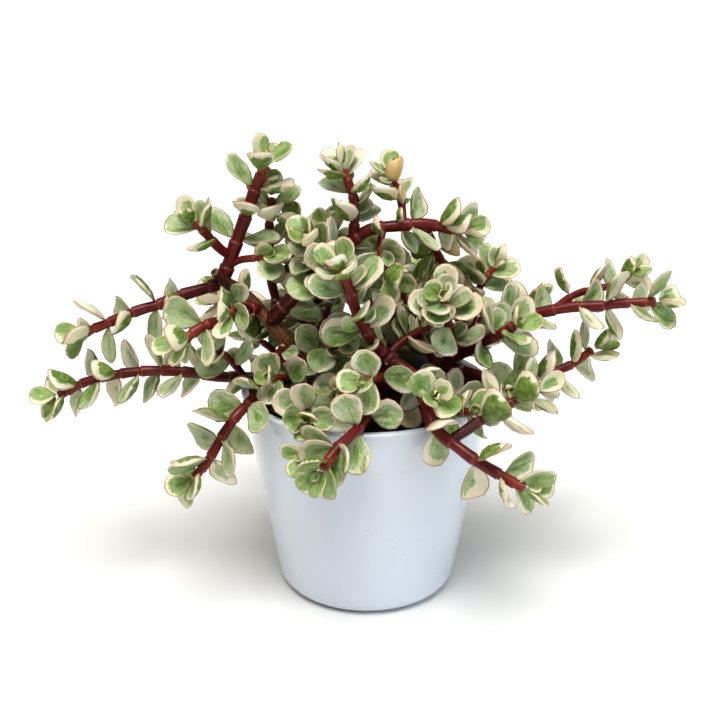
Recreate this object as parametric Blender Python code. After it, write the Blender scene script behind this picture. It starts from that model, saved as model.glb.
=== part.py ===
"""A variegated elephant bush in a white pot.

The pot stands on z = 0 with its middle on the z axis, and the side that the picture
shows is the -Y side. Tables are in millimetres; meshes are made in metres.
"""
import math
import random

import bmesh
import bpy
from mathutils import Matrix, Vector
from mathutils.bvhtree import BVHTree

MM = 0.001
SEED = 20
UP = Vector((0.0, 0.0, 1.0))
FRONT = Vector((0.0, -1.0, 0.0))

# Pot: a straight tapered wall with a rolled lip, a rounded foot and a flat base.
RIM_RADIUS = 75.0
POT_HEIGHT = 127.0
BASE_RADIUS = 53.0
FOOT_ROUNDING = 10.5
WALL = 3.6
FLOOR_THICKNESS = 4.5
LIP_WIDTH = 5.0
LIP_DEPTH = 5.0
LIP_ROUNDING = 1.6
INNER_CORNER = 5.0
FOOT_ARC_STEPS = 5
POT_STEPS = 36

# Soil fills the pot to this height, with a few low mounds.
SOIL_HEIGHT = 115.0
SOIL_MOUND = 2.2
SOIL_EDGE_DROP = 1.0
SOIL_STEPS = 24
SOIL_RINGS = (0.42, 0.74)

# Edges sharper than this stay sharp in the shading.
SHARP_ANGLE = math.radians(35)

# The air left between one solid and the next.
NODE_GAP = 0.3
# The soil keeps a little more from the wall, whose flats cut inside its circle.
SOIL_CLEARANCE = 0.45

# Stems.
CURVE_STEP = 1.5
RING_SPACING = 20.0
WOOD_SIDES = 7
SHOOT_SIDES = 5

# Leaves: obovate, thick, on a very short stalk.
LEAF_LENGTH = 19.8
LEAF_WIDTH = 17.3
STALK_LENGTH = 1.0
BACK_RISE = 2.3
CUP = 0.8
OUTLINE = ((0.20, 0.60), (0.58, 1.0), (0.94, 0.56))
THICKEST = 0.42
ROOT_DEPTH = 0.7
TEST_REACH = 50.0

# From the tip down: distance of each leaf pair, its size and its angle to the stem.
TIP_PAIRS = ((0.6, 0.6, 30.0), (6.0, 0.84, 52.0), (15.5, 0.97, 63.0))
OLD_PAIR_SIZE = 1.0
OLD_PAIR_ANGLE = 68.0

# No leaf stands nearer than this to the base of its stem.
BARE_BASE = 8.0

# How far the leaves' upper sides turn from the stem's tip toward the light.
# The light comes from above, from the room's side and from around the plant.
LIGHT_SHARE = 0.48
LIGHT_ABOVE = 0.6
LIGHT_FRONT = 0.5
LIGHT_AROUND = 0.35

# Largest random change of a leaf's angle, place round the stem, twist and size.
SWAY_ANGLE = 7.0
SWAY_ROLL = 12.0
SWAY_TWIST = 18.0
SWAY_SIZE = 0.1

# Small turns tried in order when a leaf would touch its neighbour:
# change of twist, of angle to the stem, of place round the stem, and of size.
TRIES = (
    (0, 0, 0, 1.0), (22, 0, 0, 1.0), (-22, 0, 0, 1.0), (0, -14, 0, 1.0), (0, 12, 0, 1.0),
    (0, 0, 16, 1.0), (0, 0, -16, 1.0), (40, 0, 0, 0.95), (-40, 0, 0, 0.95),
    (20, -14, 14, 0.92), (-20, -14, -14, 0.92), (20, 14, -14, 0.92), (-20, 14, 14, 0.92),
    (0, -26, 24, 0.88), (0, -26, -24, 0.88), (0, 22, 26, 0.88), (0, 22, -26, 0.88),
    (45, -18, 0, 0.8), (-45, -18, 0, 0.8), (0, -30, 0, 0.78), (70, 0, 12, 0.8),
    (-70, 0, -12, 0.8), (25, 20, 32, 0.72), (-25, 20, -32, 0.72), (0, -34, 36, 0.7),
    (0, -34, -36, 0.7), (0, 0, 0, 0.66), (35, -20, 20, 0.62), (-35, -20, -20, 0.62),
)


class Stem:
    """One stem: its route from base to tip and how its leaves stand.

    Its radii stand at even distances from base to tip.
    """

    def __init__(self, name, route, radii, pairs=0, roll=0, size=1.0, gap=15.0):
        self.name = name
        self.sides = SHOOT_SIDES if pairs else WOOD_SIDES
        self.route = [Vector(p) for p in route]
        self.radii = radii
        self.pairs = pairs
        self.roll = roll
        self.size = size
        self.gap = gap
        self.points = smooth_route(self.route)
        self.lengths = [0.0]
        for a, b in zip(self.points, self.points[1:]):
            self.lengths.append(self.lengths[-1] + (b - a).length)
        self.total = self.lengths[-1]
        lean = (self.route[-1] - self.route[0]).normalized()
        self.reference = UP if abs(lean.z) < 0.8 else FRONT

    def at(self, distance):
        """Point, direction and radius at a distance from the base."""
        distance = min(max(distance, 0.0), self.total)
        i = 1
        while i < len(self.points) - 1 and self.lengths[i] < distance:
            i += 1
        part = (distance - self.lengths[i - 1]) / (self.lengths[i] - self.lengths[i - 1])
        point = self.points[i - 1].lerp(self.points[i], part)
        before = self.points[max(i - 3, 0)]
        after = self.points[min(i + 2, len(self.points) - 1)]
        place = distance / self.total * (len(self.radii) - 1)
        k = min(int(place), len(self.radii) - 2)
        radius = self.radii[k] + (self.radii[k + 1] - self.radii[k]) * (place - k)
        return point, (after - before).normalized(), radius

    def frame(self, direction):
        """Two directions across the stem: the first one nearest the reference."""
        first = self.reference - direction * self.reference.dot(direction)
        first.normalize()
        return first, direction.cross(first)


def smooth_route(route):
    """Points every CURVE_STEP along a curve through the route's points."""
    ends = [route[0] * 2 - route[1]] + route + [route[-1] * 2 - route[-2]]
    points = []
    for a, b, c, d in zip(ends, ends[1:], ends[2:], ends[3:]):
        steps = max(1, round((c - b).length / CURVE_STEP))
        for i in range(steps):
            t = i / steps
            points.append(0.5 * (2 * b + (c - a) * t + (2 * a - 5 * b + 4 * c - d) * t ** 2
                                 + (3 * b - a - 3 * c + d) * t ** 3))
    points.append(route[-1].copy())
    return points


WOOD = [
    Stem("trunk", [(-26, 6, 92), (-27, 5, 109), (-29, 4, 120), (-36, 0, 135), (-47, -4, 156),
                   (-55, -5, 166), (-66, -4, 179), (-75, 0, 186), (-84, 3, 190)],
         (7.4, 6.7, 6.2, 4.1, 3.7)),
    Stem("right_limb", [(31, 9, 92), (32, 8, 106), (34, 6, 119), (42, -2, 141),
                        (50, -7, 147), (58, -12, 153)], (4.8, 3.8)),
    Stem("front_limb", [(3, -4, 92), (4, -10, 105), (6, -22, 124), (8, -36, 147),
                        (10, -46, 163)], (4.7, 3.7)),
    Stem("back_limb", [(-4, 22, 92), (-5, 26, 108), (-6, 31, 125), (-4, 40, 140),
                       (0, 52, 150)], (4.8, 3.7)),
]

SHOOTS = [
    Stem("left_tower", [(-84, 3, 191), (-78, 5, 206), (-74, 6, 217), (-70, 7, 227),
                        (-64, 8, 243), (-60, 8, 252), (-58, 8, 257)], (4.4, 3.4), 7, 80, 1.0, 16),
    Stem("left_high_reach", [(-86, 2, 189), (-96, 0, 186), (-108, -2, 183), (-121, -4, 178),
                             (-130, -6, 176), (-144, -8, 171), (-151, -9, 168),
                             (-159, -10, 165), (-163, -11, 163)], (3.8, 2.7), 7, 5, 0.95, 15),
    Stem("arch", [(-57, -6, 168), (-40, -11, 188), (-26, -13, 205), (-9, -15, 219),
                  (2, -16, 226), (16, -16, 228), (30, -15, 229), (44, -13, 226),
                  (53, -11, 224)], (4.5, 3.0), 8, 40, 0.95, 15),
    Stem("left_upright", [(-54, -5, 167), (-54, 10, 176), (-56, 14, 184), (-57, 16, 195),
                          (-57, 17, 210), (-57, 18, 223), (-55, 18, 236)], (3.1, 2.6), 4, 5, 0.9, 16),
    Stem("mid_upright", [(-36, 0, 140), (-33, 8, 149), (-34, 14, 159), (-35, 18, 172),
                         (-38, 20, 186), (-41, 20, 197), (-42, 18, 206), (-43, 16, 217)],
         (3.5, 2.7), 6, 165, 0.95, 12),
    Stem("left_mid", [(-63, -5, 176), (-73, -16, 178), (-82, -26, 176), (-92, -34, 175),
                      (-99, -38, 171), (-102, -40, 169)], (3.6, 2.8), 4, 55, 1.0, 17),
    Stem("left_fall", [(-46, -4, 153), (-51, -14, 151), (-57, -24, 144), (-61, -33, 138),
                       (-66, -42, 133), (-73, -50, 128), (-80, -54, 119), (-85, -57, 111),
                       (-90, -59, 103), (-97, -61, 95)], (3.6, 2.6), 7, 170, 1.0, 12),
    Stem("left_low_reach", [(-36, 0, 135), (-52, 0, 132), (-65, -5, 133), (-86, -6, 134),
                            (-98, -6, 136), (-114, -7, 138), (-127, -9, 139),
                            (-141, -10, 138), (-153, -11, 136), (-165, -12, 133),
                            (-175, -13, 128), (-181, -14, 125)], (3.9, 2.6), 9, 160, 0.95, 12),
    Stem("front_riser", [(10, -46, 163), (4, -50, 170), (-1, -54, 180), (-6, -57, 191),
                         (-9, -60, 202), (-12, -62, 211), (-14, -63, 217)], (3.9, 2.9), 5, 95, 1.0, 13),
    Stem("front_cascade", [(10, -46, 162), (17, -53, 159), (26, -60, 153), (31, -66, 144),
                           (34, -74, 135), (39, -81, 130), (47, -87, 126), (57, -92, 120),
                           (71, -97, 113), (79, -99, 109), (83, -100, 108)], (4.2, 2.8), 8, 105, 0.95, 15),
    Stem("front_fall", [(6, -20, 123), (5, -38, 128), (-3, -68, 131), (-6, -77, 131),
                        (-14, -87, 127), (-20, -93, 122), (-24, -97, 117)], (3.6, 2.8), 5, 95, 1.0, 17),
    Stem("right_reach", [(57, -12, 153), (73, -4, 162), (90, -5, 171), (107, -8, 176),
                         (121, -10, 179), (134, -12, 180), (145, -14, 182),
                         (164, -17, 184)], (3.9, 2.6), 8, 95, 0.95, 14),
    Stem("right_riser", [(54, -8, 149), (57, -2, 157), (62, 3, 167), (66, 9, 184),
                         (70, 12, 190), (75, 14, 195)], (3.0, 2.3), 4, 135, 0.85, 17),
    Stem("right_rosette", [(49, -7, 147), (47, -25, 167), (43, -42, 186), (40, -55, 198)],
         (3.2, 2.3), 5, 90, 0.95, 17),
    Stem("tower_side", [(-79, 5, 205), (-84, 0, 210), (-91, -5, 220), (-97, -8, 228)],
         (3.0, 2.4), 3, 50, 0.95, 12),
    Stem("arch_left_riser", [(-8, -15, 220), (-7, -12, 234), (-8, -10, 243), (-11, -9, 252),
                             (-14, -8, 258)], (3.2, 2.5), 4, 50, 0.9, 16),
    Stem("arch_right_riser", [(20, -16, 228), (19, -11, 239), (17, -8, 246), (13, -6, 254)],
         (2.4, 1.9), 3, 130, 0.85, 12),
    Stem("arch_fall", [(31, -15, 228), (35, -8, 220), (39, 0, 210), (44, 8, 200),
                       (52, 12, 193)], (3.1, 2.3), 4, 120, 0.9, 12),
    Stem("arch_under", [(9, -16, 227), (7, -23, 219), (8, -30, 212), (12, -34, 205)],
         (2.3, 1.9), 3, 140, 0.95, 12),
    Stem("mid_side", [(-38, 20, 186), (-29, 10, 200), (-21, 2, 210), (-22, -2, 221)],
         (2.5, 1.9), 4, 100, 0.9, 12),
    Stem("centre_left", [(-29, -12, 202), (-25, -25, 203), (-22, -38, 208)],
         (2.5, 2.0), 3, 120, 1.0, 12),
    Stem("left_twig", [(-72, -5, 133), (-78, -12, 145), (-82, -16, 151), (-86, -20, 156)],
         (2.4, 1.9), 3, 130, 0.9, 12),
    Stem("cascade_side", [(44, -84, 128), (52, -79, 131), (60, -73, 134), (68, -67, 136),
                          (76, -62, 139), (84, -58, 142), (92, -54, 144)],
         (3.3, 2.6), 5, 40, 1.0, 12),
    Stem("front_rosette", [(32, -68, 142), (34, -75, 147), (35, -82, 152)], (2.5, 2.1), 3, 125, 0.95, 12),
    Stem("front_fall_side", [(-8, -79, 130), (-18, -84, 124), (-28, -86, 121), (-32, -87, 120)],
         (2.2, 1.8), 3, 25, 0.85, 12),
    Stem("left_rosette", [(-29, 2, 122), (-33, -35, 129), (-34, -58, 133), (-33, -74, 136)],
         (2.9, 2.1), 4, 175, 0.95, 17),
    Stem("centre_front", [(7, -30, 136), (9, -46, 148), (6, -60, 155), (-1, -70, 157)],
         (2.6, 2.1), 3, 100, 1.0, 12),
    Stem("centre_twig", [(10, -43, 160), (18, -37, 166), (28, -34, 172), (35, -33, 175)],
         (2.5, 1.9), 3, 110, 1.0, 13),
    Stem("centre_low", [(-36, -1, 139), (-27, -16, 152), (-19, -28, 161), (-15, -34, 168)],
         (2.7, 2.0), 4, 135, 1.0, 13),
    Stem("right_mid", [(57, -12, 152), (67, -24, 163), (76, -33, 171), (81, -38, 177)],
         (3.9, 2.8), 5, 45, 1.0, 12),
    Stem("right_reach_side", [(108, -8, 177), (121, 2, 182), (133, 7, 184), (143, 8, 186),
                              (153, 8, 192)], (2.5, 1.9), 5, 120, 0.85, 12),
    Stem("right_low_reach", [(41, -2, 140), (60, -4, 136), (78, -11, 133), (96, -10, 135),
                             (108, -9, 138), (119, -8, 142), (127, -6, 147), (132, -5, 151)],
         (3.6, 2.4), 6, 30, 1.0, 12),
    Stem("right_inner", [(7, -32, 141), (30, -42, 135), (47, -58, 134), (55, -66, 137)],
         (2.8, 2.1), 5, 135, 0.95, 14),
    Stem("back_left", [(-46, -3, 155), (-58, 22, 158), (-72, 45, 160), (-86, 64, 158),
                       (-96, 78, 152)], (3.2, 2.1), 5, 130, 1.0, 15),
    Stem("back_centre", [(-1, 50, 150), (4, 75, 158), (8, 95, 160), (10, 112, 156)],
         (3.4, 2.1), 4, 135, 1.0, 15),
    Stem("back_left_low", [(-5, 38, 138), (-25, 58, 147), (-45, 78, 147), (-58, 94, 141),
                           (-66, 106, 131)], (3.1, 2.1), 5, 135, 1.0, 15),
    Stem("back_right_low", [(-1, 48, 148), (22, 64, 152), (42, 82, 152), (58, 96, 146),
                            (68, 106, 136)], (3.1, 2.1), 5, 135, 1.0, 15),
    Stem("back_fall", [(-5, 36, 134), (8, 70, 138), (16, 90, 128), (20, 102, 110),
                       (22, 106, 92)], (3.0, 2.1), 4, 135, 1.0, 15),
    Stem("back_right", [(50, -6, 146), (60, 16, 152), (74, 36, 158), (90, 52, 160),
                        (104, 64, 158)], (3.0, 2.1), 5, 135, 1.0, 15),
    Stem("back_riser", [(-36, 1, 136), (-28, 26, 150), (-22, 42, 168), (-18, 52, 184)],
         (2.9, 2.1), 4, 130, 1.0, 14),
    Stem("back_right_riser", [(40, 0, 137), (38, 22, 150), (34, 40, 164), (30, 48, 178)],
         (2.8, 2.0), 3, 130, 1.0, 14),
    Stem("arch_twig", [(-22, -13, 208), (-26, -24, 215), (-31, -30, 223)], (2.3, 1.9), 3, 150, 0.95, 12),
    Stem("trunk_twig", [(-54, -4, 164), (-48, 8, 172), (-42, 14, 182)], (2.4, 1.9), 3, 120, 1.0, 12),
    Stem("left_mid_upper", [(-68, -10, 177), (-70, -19, 182), (-73, -28, 184), (-76, -36, 184)],
         (2.6, 2.1), 2, 0, 1.0, 12),
    Stem("tower_foot", [(-80, 4, 199), (-74, 2, 203), (-66, -1, 205), (-59, -3, 206)],
         (2.3, 1.9), 2, 90, 1.0, 12),
    Stem("left_rim_twig", [(-38, -1, 138), (-44, -20, 140), (-54, -36, 145)], (2.5, 1.9), 4, 120, 1.0, 12),
    Stem("right_rim_twig", [(35, 5, 121), (52, -18, 128), (66, -34, 134), (76, -42, 140)],
         (2.6, 2.0), 4, 130, 1.0, 13),
    Stem("centre_rear_riser", [(41, -1, 139), (30, 0, 160), (22, -4, 180), (16, -6, 196)],
         (2.7, 2.0), 4, 120, 1.0, 13),
    Stem("mid_twig", [(-35, 18, 172), (-20, 14, 180), (-10, 10, 190), (-2, 8, 200)],
         (2.5, 2.0), 4, 130, 1.0, 13),
    Stem("back_twig_left", [(-6, 30, 121), (-20, 36, 136), (-34, 44, 146), (-43, 50, 152)],
         (2.6, 2.0), 4, 40, 1.0, 13),
    Stem("back_twig_right", [(-6, 31, 124), (6, 26, 136), (16, 24, 144), (26, 24, 150)],
         (2.6, 2.0), 4, 40, 1.0, 13),
    Stem("low_left_fill", [(-46, 28, 100), (-49, 29, 120), (-57, 33, 135), (-69, 38, 143)],
         (2.7, 2.0), 2, 130, 1.0, 13),
    Stem("low_right_fill", [(46, 30, 100), (48, 32, 120), (56, 37, 134), (67, 43, 142)],
         (2.7, 2.0), 2, 135, 1.0, 13),
    Stem("low_front_fill", [(-6, -34, 100), (-10, -38, 118), (-14, -44, 130), (-16, -50, 138)],
         (2.5, 1.9), 3, 135, 1.0, 13),
]
ROOTED = ("trunk", "right_limb", "front_limb", "back_limb", "low_left_fill", "low_right_fill",
          "low_front_fill")
STUB = Stem("stub", [(-80, 2, 188), (-88, -4, 198)], (3.3, 3.0))


def material(name, colour, roughness, coat=0.0):
    """A plain Principled material."""
    made = bpy.data.materials.new(name)
    made.use_nodes = True
    shader = made.node_tree.nodes["Principled BSDF"]
    shader.inputs["Base Color"].default_value = (*colour, 1.0)
    shader.inputs["Roughness"].default_value = roughness
    shader.inputs["Metallic"].default_value = 0.0
    shader.inputs["Coat Weight"].default_value = coat
    made.diffuse_color = (*colour, 1.0)
    return made


def new_object(name, mesh, materials):
    """An object in the scene with the given material slots."""
    for slot in materials:
        mesh.materials.append(slot)
    made = bpy.data.objects.new(name, mesh)
    bpy.context.scene.collection.objects.link(made)
    return made


def mesh_from(name, verts, faces, slot=0):
    """A mesh in metres from points in millimetres, with its faces turned outward."""
    bm = bmesh.new()
    corners = [bm.verts.new(Vector(v) * MM) for v in verts]
    for face in faces:
        made = bm.faces.new([corners[i] for i in face])
        made.material_index = slot
    bmesh.ops.recalc_face_normals(bm, faces=bm.faces)
    mesh = bpy.data.meshes.new(name)
    bm.to_mesh(mesh)
    bm.free()
    return mesh


def tube(stem, swell=0.0):
    """Points and faces of a stem's tube, a ring of points at each RING_SPACING."""
    sides = stem.sides
    count = max(2, math.ceil(stem.total / RING_SPACING))
    verts = []
    faces = []
    for k in range(count + 1):
        point, direction, radius = stem.at(stem.total * k / count)
        if swell and k == 0:
            point = point - direction * swell
        if swell and k == count:
            point = point + direction * swell
        first, second = stem.frame(direction)
        ring = radius + swell / math.cos(math.pi / sides)
        for j in range(sides):
            turn = math.tau * j / sides
            verts.append(point + (first * math.cos(turn) + second * math.sin(turn)) * ring)
    for k in range(count):
        for j in range(sides):
            a = k * sides + j
            b = k * sides + (j + 1) % sides
            faces.append((a, b, b + sides, a + sides))
    faces.append(tuple(reversed(range(sides))))
    faces.append(tuple(range(count * sides, (count + 1) * sides)))
    return verts, faces


def leaf(point, along, normal, radius, length, width, swell=0.0, rooted=True):
    """Points and faces of one leaf, which starts inside the stem if it is rooted.

    With swell the leaf is that much larger all round.
    """
    across = normal.cross(along)
    start = radius + STALK_LENGTH
    half = width / 2

    def place(x, y, z):
        return point + along * x + across * y + normal * z

    sides = []
    for side in (-1, 1):
        sides.append([place(start + (length + swell) * share, side * (half * spread + swell),
                            CUP * spread ** 2) for share, spread in OUTLINE])
    ring = [place(-radius * ROOT_DEPTH if rooted else radius, 0, 0)]
    ring += sides[0] + sides[1][::-1]
    count = len(ring)
    verts = [p + normal * swell for p in ring]
    verts.append(place(start + length * THICKEST, 0, -BACK_RISE - swell))
    # A swollen leaf has a rim as high as its swelling; a real one ends in a fine edge.
    lower = 0
    if swell:
        lower = len(verts)
        verts += [p - normal * swell for p in ring]
    faces = [(0, 1, 6), (1, 2, 5, 6), (2, 3, 4, 5)]
    for i in range(count):
        j = (i + 1) % count
        faces.append((lower + j, lower + i, count))
        if swell:
            faces.append((i, j, lower + j, lower + i))
    return verts, faces


def leaf_plan(stem):
    """Distance from the base, size, angle to the stem and roll of each leaf of a stem."""
    plan = []
    for k in range(stem.pairs):
        if k < len(TIP_PAIRS):
            back, size, angle = TIP_PAIRS[k]
        else:
            back = TIP_PAIRS[-1][0] + stem.gap * (k - len(TIP_PAIRS) + 1)
            size, angle = OLD_PAIR_SIZE, OLD_PAIR_ANGLE
        if stem.total - back < BARE_BASE:
            break
        for side in (0, 180):
            plan.append((stem.total - back, size * stem.size, angle, stem.roll + 90 * k + side))
    return plan


def leaf_pose(stem, distance, angle, roll, twist):
    """Where a leaf stands: its root, its direction, its upper side's normal, the stem's radius."""
    point, direction, radius = stem.at(distance)
    first, second = stem.frame(direction)
    outward = first * math.cos(math.radians(roll)) + second * math.sin(math.radians(roll))
    lean = math.radians(angle)
    along = (direction * math.cos(lean) + outward * math.sin(lean)).normalized()
    away = Vector((point.x, point.y, 0.0))
    light = UP * LIGHT_ABOVE + FRONT * LIGHT_FRONT
    if away.length > 1.0:
        light += away.normalized() * LIGHT_AROUND
    normal = direction * (1.0 - LIGHT_SHARE) + light.normalized() * LIGHT_SHARE
    normal = (normal - along * normal.dot(along)).normalized()
    normal = Matrix.Rotation(math.radians(twist), 3, along) @ normal
    return point, along, normal, radius


def tree(verts, faces):
    """A search tree of a solid's faces."""
    return BVHTree.FromPolygons([tuple(v) for v in verts], faces)


def grow_leaves(stems, fixed):
    """Leaves of every stem that stand clear of all other stems, leaves and fixed solids."""
    draw = random.Random(SEED)
    tubes = {stem.name: tree(*tube(stem, NODE_GAP)) for stem in stems}
    grown = []
    by_stem = {}
    dropped = 0
    for stem in stems:
        others = [t for name, t in tubes.items() if name != stem.name] + fixed
        mine = []
        for distance, size, angle, roll in leaf_plan(stem):
            sway = [draw.uniform(-1, 1) for _ in range(5)]
            for turn, lean, shift, scale in TRIES:
                pose = leaf_pose(stem, distance, angle + lean + SWAY_ANGLE * sway[0],
                                 roll + shift + SWAY_ROLL * sway[1],
                                 turn + SWAY_TWIST * sway[2])
                length = LEAF_LENGTH * size * scale * (1 + SWAY_SIZE * sway[3])
                width = LEAF_WIDTH * size * scale * (1 + SWAY_SIZE * sway[4])
                middle = pose[0] + pose[1] * (length * 0.6)
                whole = tree(*leaf(*pose, length, width, NODE_GAP))
                blade = tree(*leaf(*pose, length, width, NODE_GAP, rooted=False))
                if any(whole.overlap(other) for other in others):
                    continue
                near = [old for old in grown if (old[1] - middle).length < TEST_REACH]
                if any(blade.overlap(old[3]) if old[0] is stem else whole.overlap(old[2])
                       for old in near):
                    continue
                mine.append((pose, length, width))
                grown.append((stem, middle, tree(*leaf(*pose, length, width)),
                              tree(*leaf(*pose, length, width, rooted=False))))
                break
            else:
                dropped += 1
        by_stem[stem.name] = mine
    print("leaves", len(grown), "left out", dropped)
    return by_stem


def boolean(target, operation, others):
    """Apply one Boolean of a collection of objects to the target and remove them."""
    group = bpy.data.collections.new("operands")
    bpy.context.scene.collection.children.link(group)
    for other in others:
        group.objects.link(other)
        bpy.context.scene.collection.objects.unlink(other)
    modifier = target.modifiers.new("join", "BOOLEAN")
    modifier.operand_type = "COLLECTION"
    modifier.collection = group
    modifier.operation = operation
    modifier.solver = "EXACT"
    modifier.material_mode = "INDEX"
    shape = target.evaluated_get(bpy.context.evaluated_depsgraph_get())
    result = bpy.data.meshes.new_from_object(shape)
    target.modifiers.remove(modifier)
    old = target.data
    target.data = result
    result.name = old.name
    bpy.data.meshes.remove(old)
    for other in others:
        spare = other.data
        bpy.data.objects.remove(other)
        bpy.data.meshes.remove(spare)
    bpy.data.collections.remove(group)


def pot_profile():
    """The pot's section as (radius, height) from the middle of the base to the inner floor."""
    slope = (RIM_RADIUS - BASE_RADIUS) / POT_HEIGHT
    lean = math.atan(slope)

    def wall_at(height, inset=0.0):
        return BASE_RADIUS + slope * height - inset / math.cos(lean)

    points = [(0.0, 0.0), (BASE_RADIUS * 0.5, 0.0)]
    # The foot's arc touches the base and the leaning wall.
    centre = wall_at(FOOT_ROUNDING, FOOT_ROUNDING)
    for i in range(FOOT_ARC_STEPS + 1):
        turn = (math.pi / 2 - lean) * i / FOOT_ARC_STEPS - math.pi / 2
        points.append((centre + FOOT_ROUNDING * math.cos(turn),
                       FOOT_ROUNDING + FOOT_ROUNDING * math.sin(turn)))
    lip_bottom = POT_HEIGHT - LIP_DEPTH
    points.append((wall_at(POT_HEIGHT * 0.5), POT_HEIGHT * 0.5))
    points.append((wall_at(lip_bottom), lip_bottom))
    # The lip: its outer edge rounded over, a narrow flat top and a smaller inner rounding.
    soft = LIP_ROUNDING
    points += [(RIM_RADIUS, POT_HEIGHT - soft), (RIM_RADIUS - soft * 0.3, POT_HEIGHT - soft * 0.3),
               (RIM_RADIUS - soft, POT_HEIGHT), (RIM_RADIUS - LIP_WIDTH + soft * 0.6, POT_HEIGHT),
               (RIM_RADIUS - LIP_WIDTH, POT_HEIGHT - soft * 0.6),
               (wall_at(lip_bottom, WALL), lip_bottom)]
    corner = FLOOR_THICKNESS + INNER_CORNER
    points.append((inner_radius(corner), corner))
    points.append((inner_radius(FLOOR_THICKNESS) - INNER_CORNER, FLOOR_THICKNESS))
    points.append((0.0, FLOOR_THICKNESS))
    return points


def inner_radius(height):
    """Radius of the pot's inner wall at a height."""
    slope = (RIM_RADIUS - BASE_RADIUS) / POT_HEIGHT
    return BASE_RADIUS + slope * height - WALL / math.cos(math.atan(slope))


def revolve(name, profile, steps, slot_material):
    """A closed solid turned round the z axis from a section that starts and ends on it."""
    bm = bmesh.new()
    verts = [bm.verts.new((r * MM, 0.0, z * MM)) for r, z in profile]
    edges = [bm.edges.new(pair) for pair in zip(verts, verts[1:])]
    bmesh.ops.spin(bm, geom=verts + edges, axis=(0, 0, 1), cent=(0, 0, 0),
                   angle=math.tau, steps=steps, use_merge=True)
    bmesh.ops.remove_doubles(bm, verts=bm.verts, dist=1e-6)
    bmesh.ops.dissolve_degenerate(bm, edges=bm.edges, dist=1e-7)
    bmesh.ops.recalc_face_normals(bm, faces=bm.faces)
    mesh = bpy.data.meshes.new(name)
    bm.to_mesh(mesh)
    bm.free()
    return new_object(name, mesh, [slot_material])


def soil_mesh():
    """Soil from the pot's floor to its mounded top."""
    draw = random.Random(SEED + 1)
    bottom = FLOOR_THICKNESS + NODE_GAP
    corner = bottom + INNER_CORNER
    edge = SOIL_HEIGHT - SOIL_EDGE_DROP
    profile = [(inner_radius(FLOOR_THICKNESS) - INNER_CORNER - NODE_GAP, bottom),
               (inner_radius(corner) - SOIL_CLEARANCE, corner),
               (inner_radius(edge) - SOIL_CLEARANCE, edge)]
    verts = [(0.0, 0.0, bottom)]
    faces = []
    for radius, height in profile:
        verts += ring_points(radius, height)
    for share in reversed(SOIL_RINGS):
        for x, y, z in ring_points(profile[-1][0] * share, SOIL_HEIGHT):
            verts.append((x, y, z + draw.uniform(-0.5, 1.0) * SOIL_MOUND))
    top = len(verts)
    verts.append((0.0, 0.0, SOIL_HEIGHT + SOIL_MOUND * 0.6))
    rings = (top - 1) // SOIL_STEPS
    for j in range(SOIL_STEPS):
        k = (j + 1) % SOIL_STEPS
        faces.append((0, 1 + k, 1 + j))
        last = 1 + (rings - 1) * SOIL_STEPS
        faces.append((top, last + j, last + k))
        for ring in range(rings - 1):
            a = 1 + ring * SOIL_STEPS
            b = a + SOIL_STEPS
            faces.append((a + j, a + k, b + k))
            faces.append((a + j, b + k, b + j))
    return verts, faces


def ring_points(radius, height):
    """A level ring of SOIL_STEPS points."""
    return [(radius * math.cos(math.tau * j / SOIL_STEPS),
             radius * math.sin(math.tau * j / SOIL_STEPS), height) for j in range(SOIL_STEPS)]


def bodies(mesh):
    """The separate bodies of a mesh, each as a list of vertex numbers, largest first."""
    parent = list(range(len(mesh.vertices)))

    def find(i):
        while parent[i] != i:
            parent[i] = parent[parent[i]]
            i = parent[i]
        return i

    for edge in mesh.edges:
        a, b = (find(i) for i in edge.vertices)
        parent[a] = b
    groups = {}
    for i in range(len(parent)):
        groups.setdefault(find(i), []).append(i)
    return sorted(groups.values(), key=len, reverse=True)


def keep_largest(mesh):
    """Remove the loose chips that the cuts at a fork leave beside the stem."""
    chips = [i for group in bodies(mesh)[1:] for i in group]
    if not chips:
        return
    bm = bmesh.new()
    bm.from_mesh(mesh)
    bm.verts.ensure_lookup_table()
    bmesh.ops.delete(bm, geom=[bm.verts[i] for i in chips], context="VERTS")
    bm.to_mesh(mesh)
    bm.free()


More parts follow.
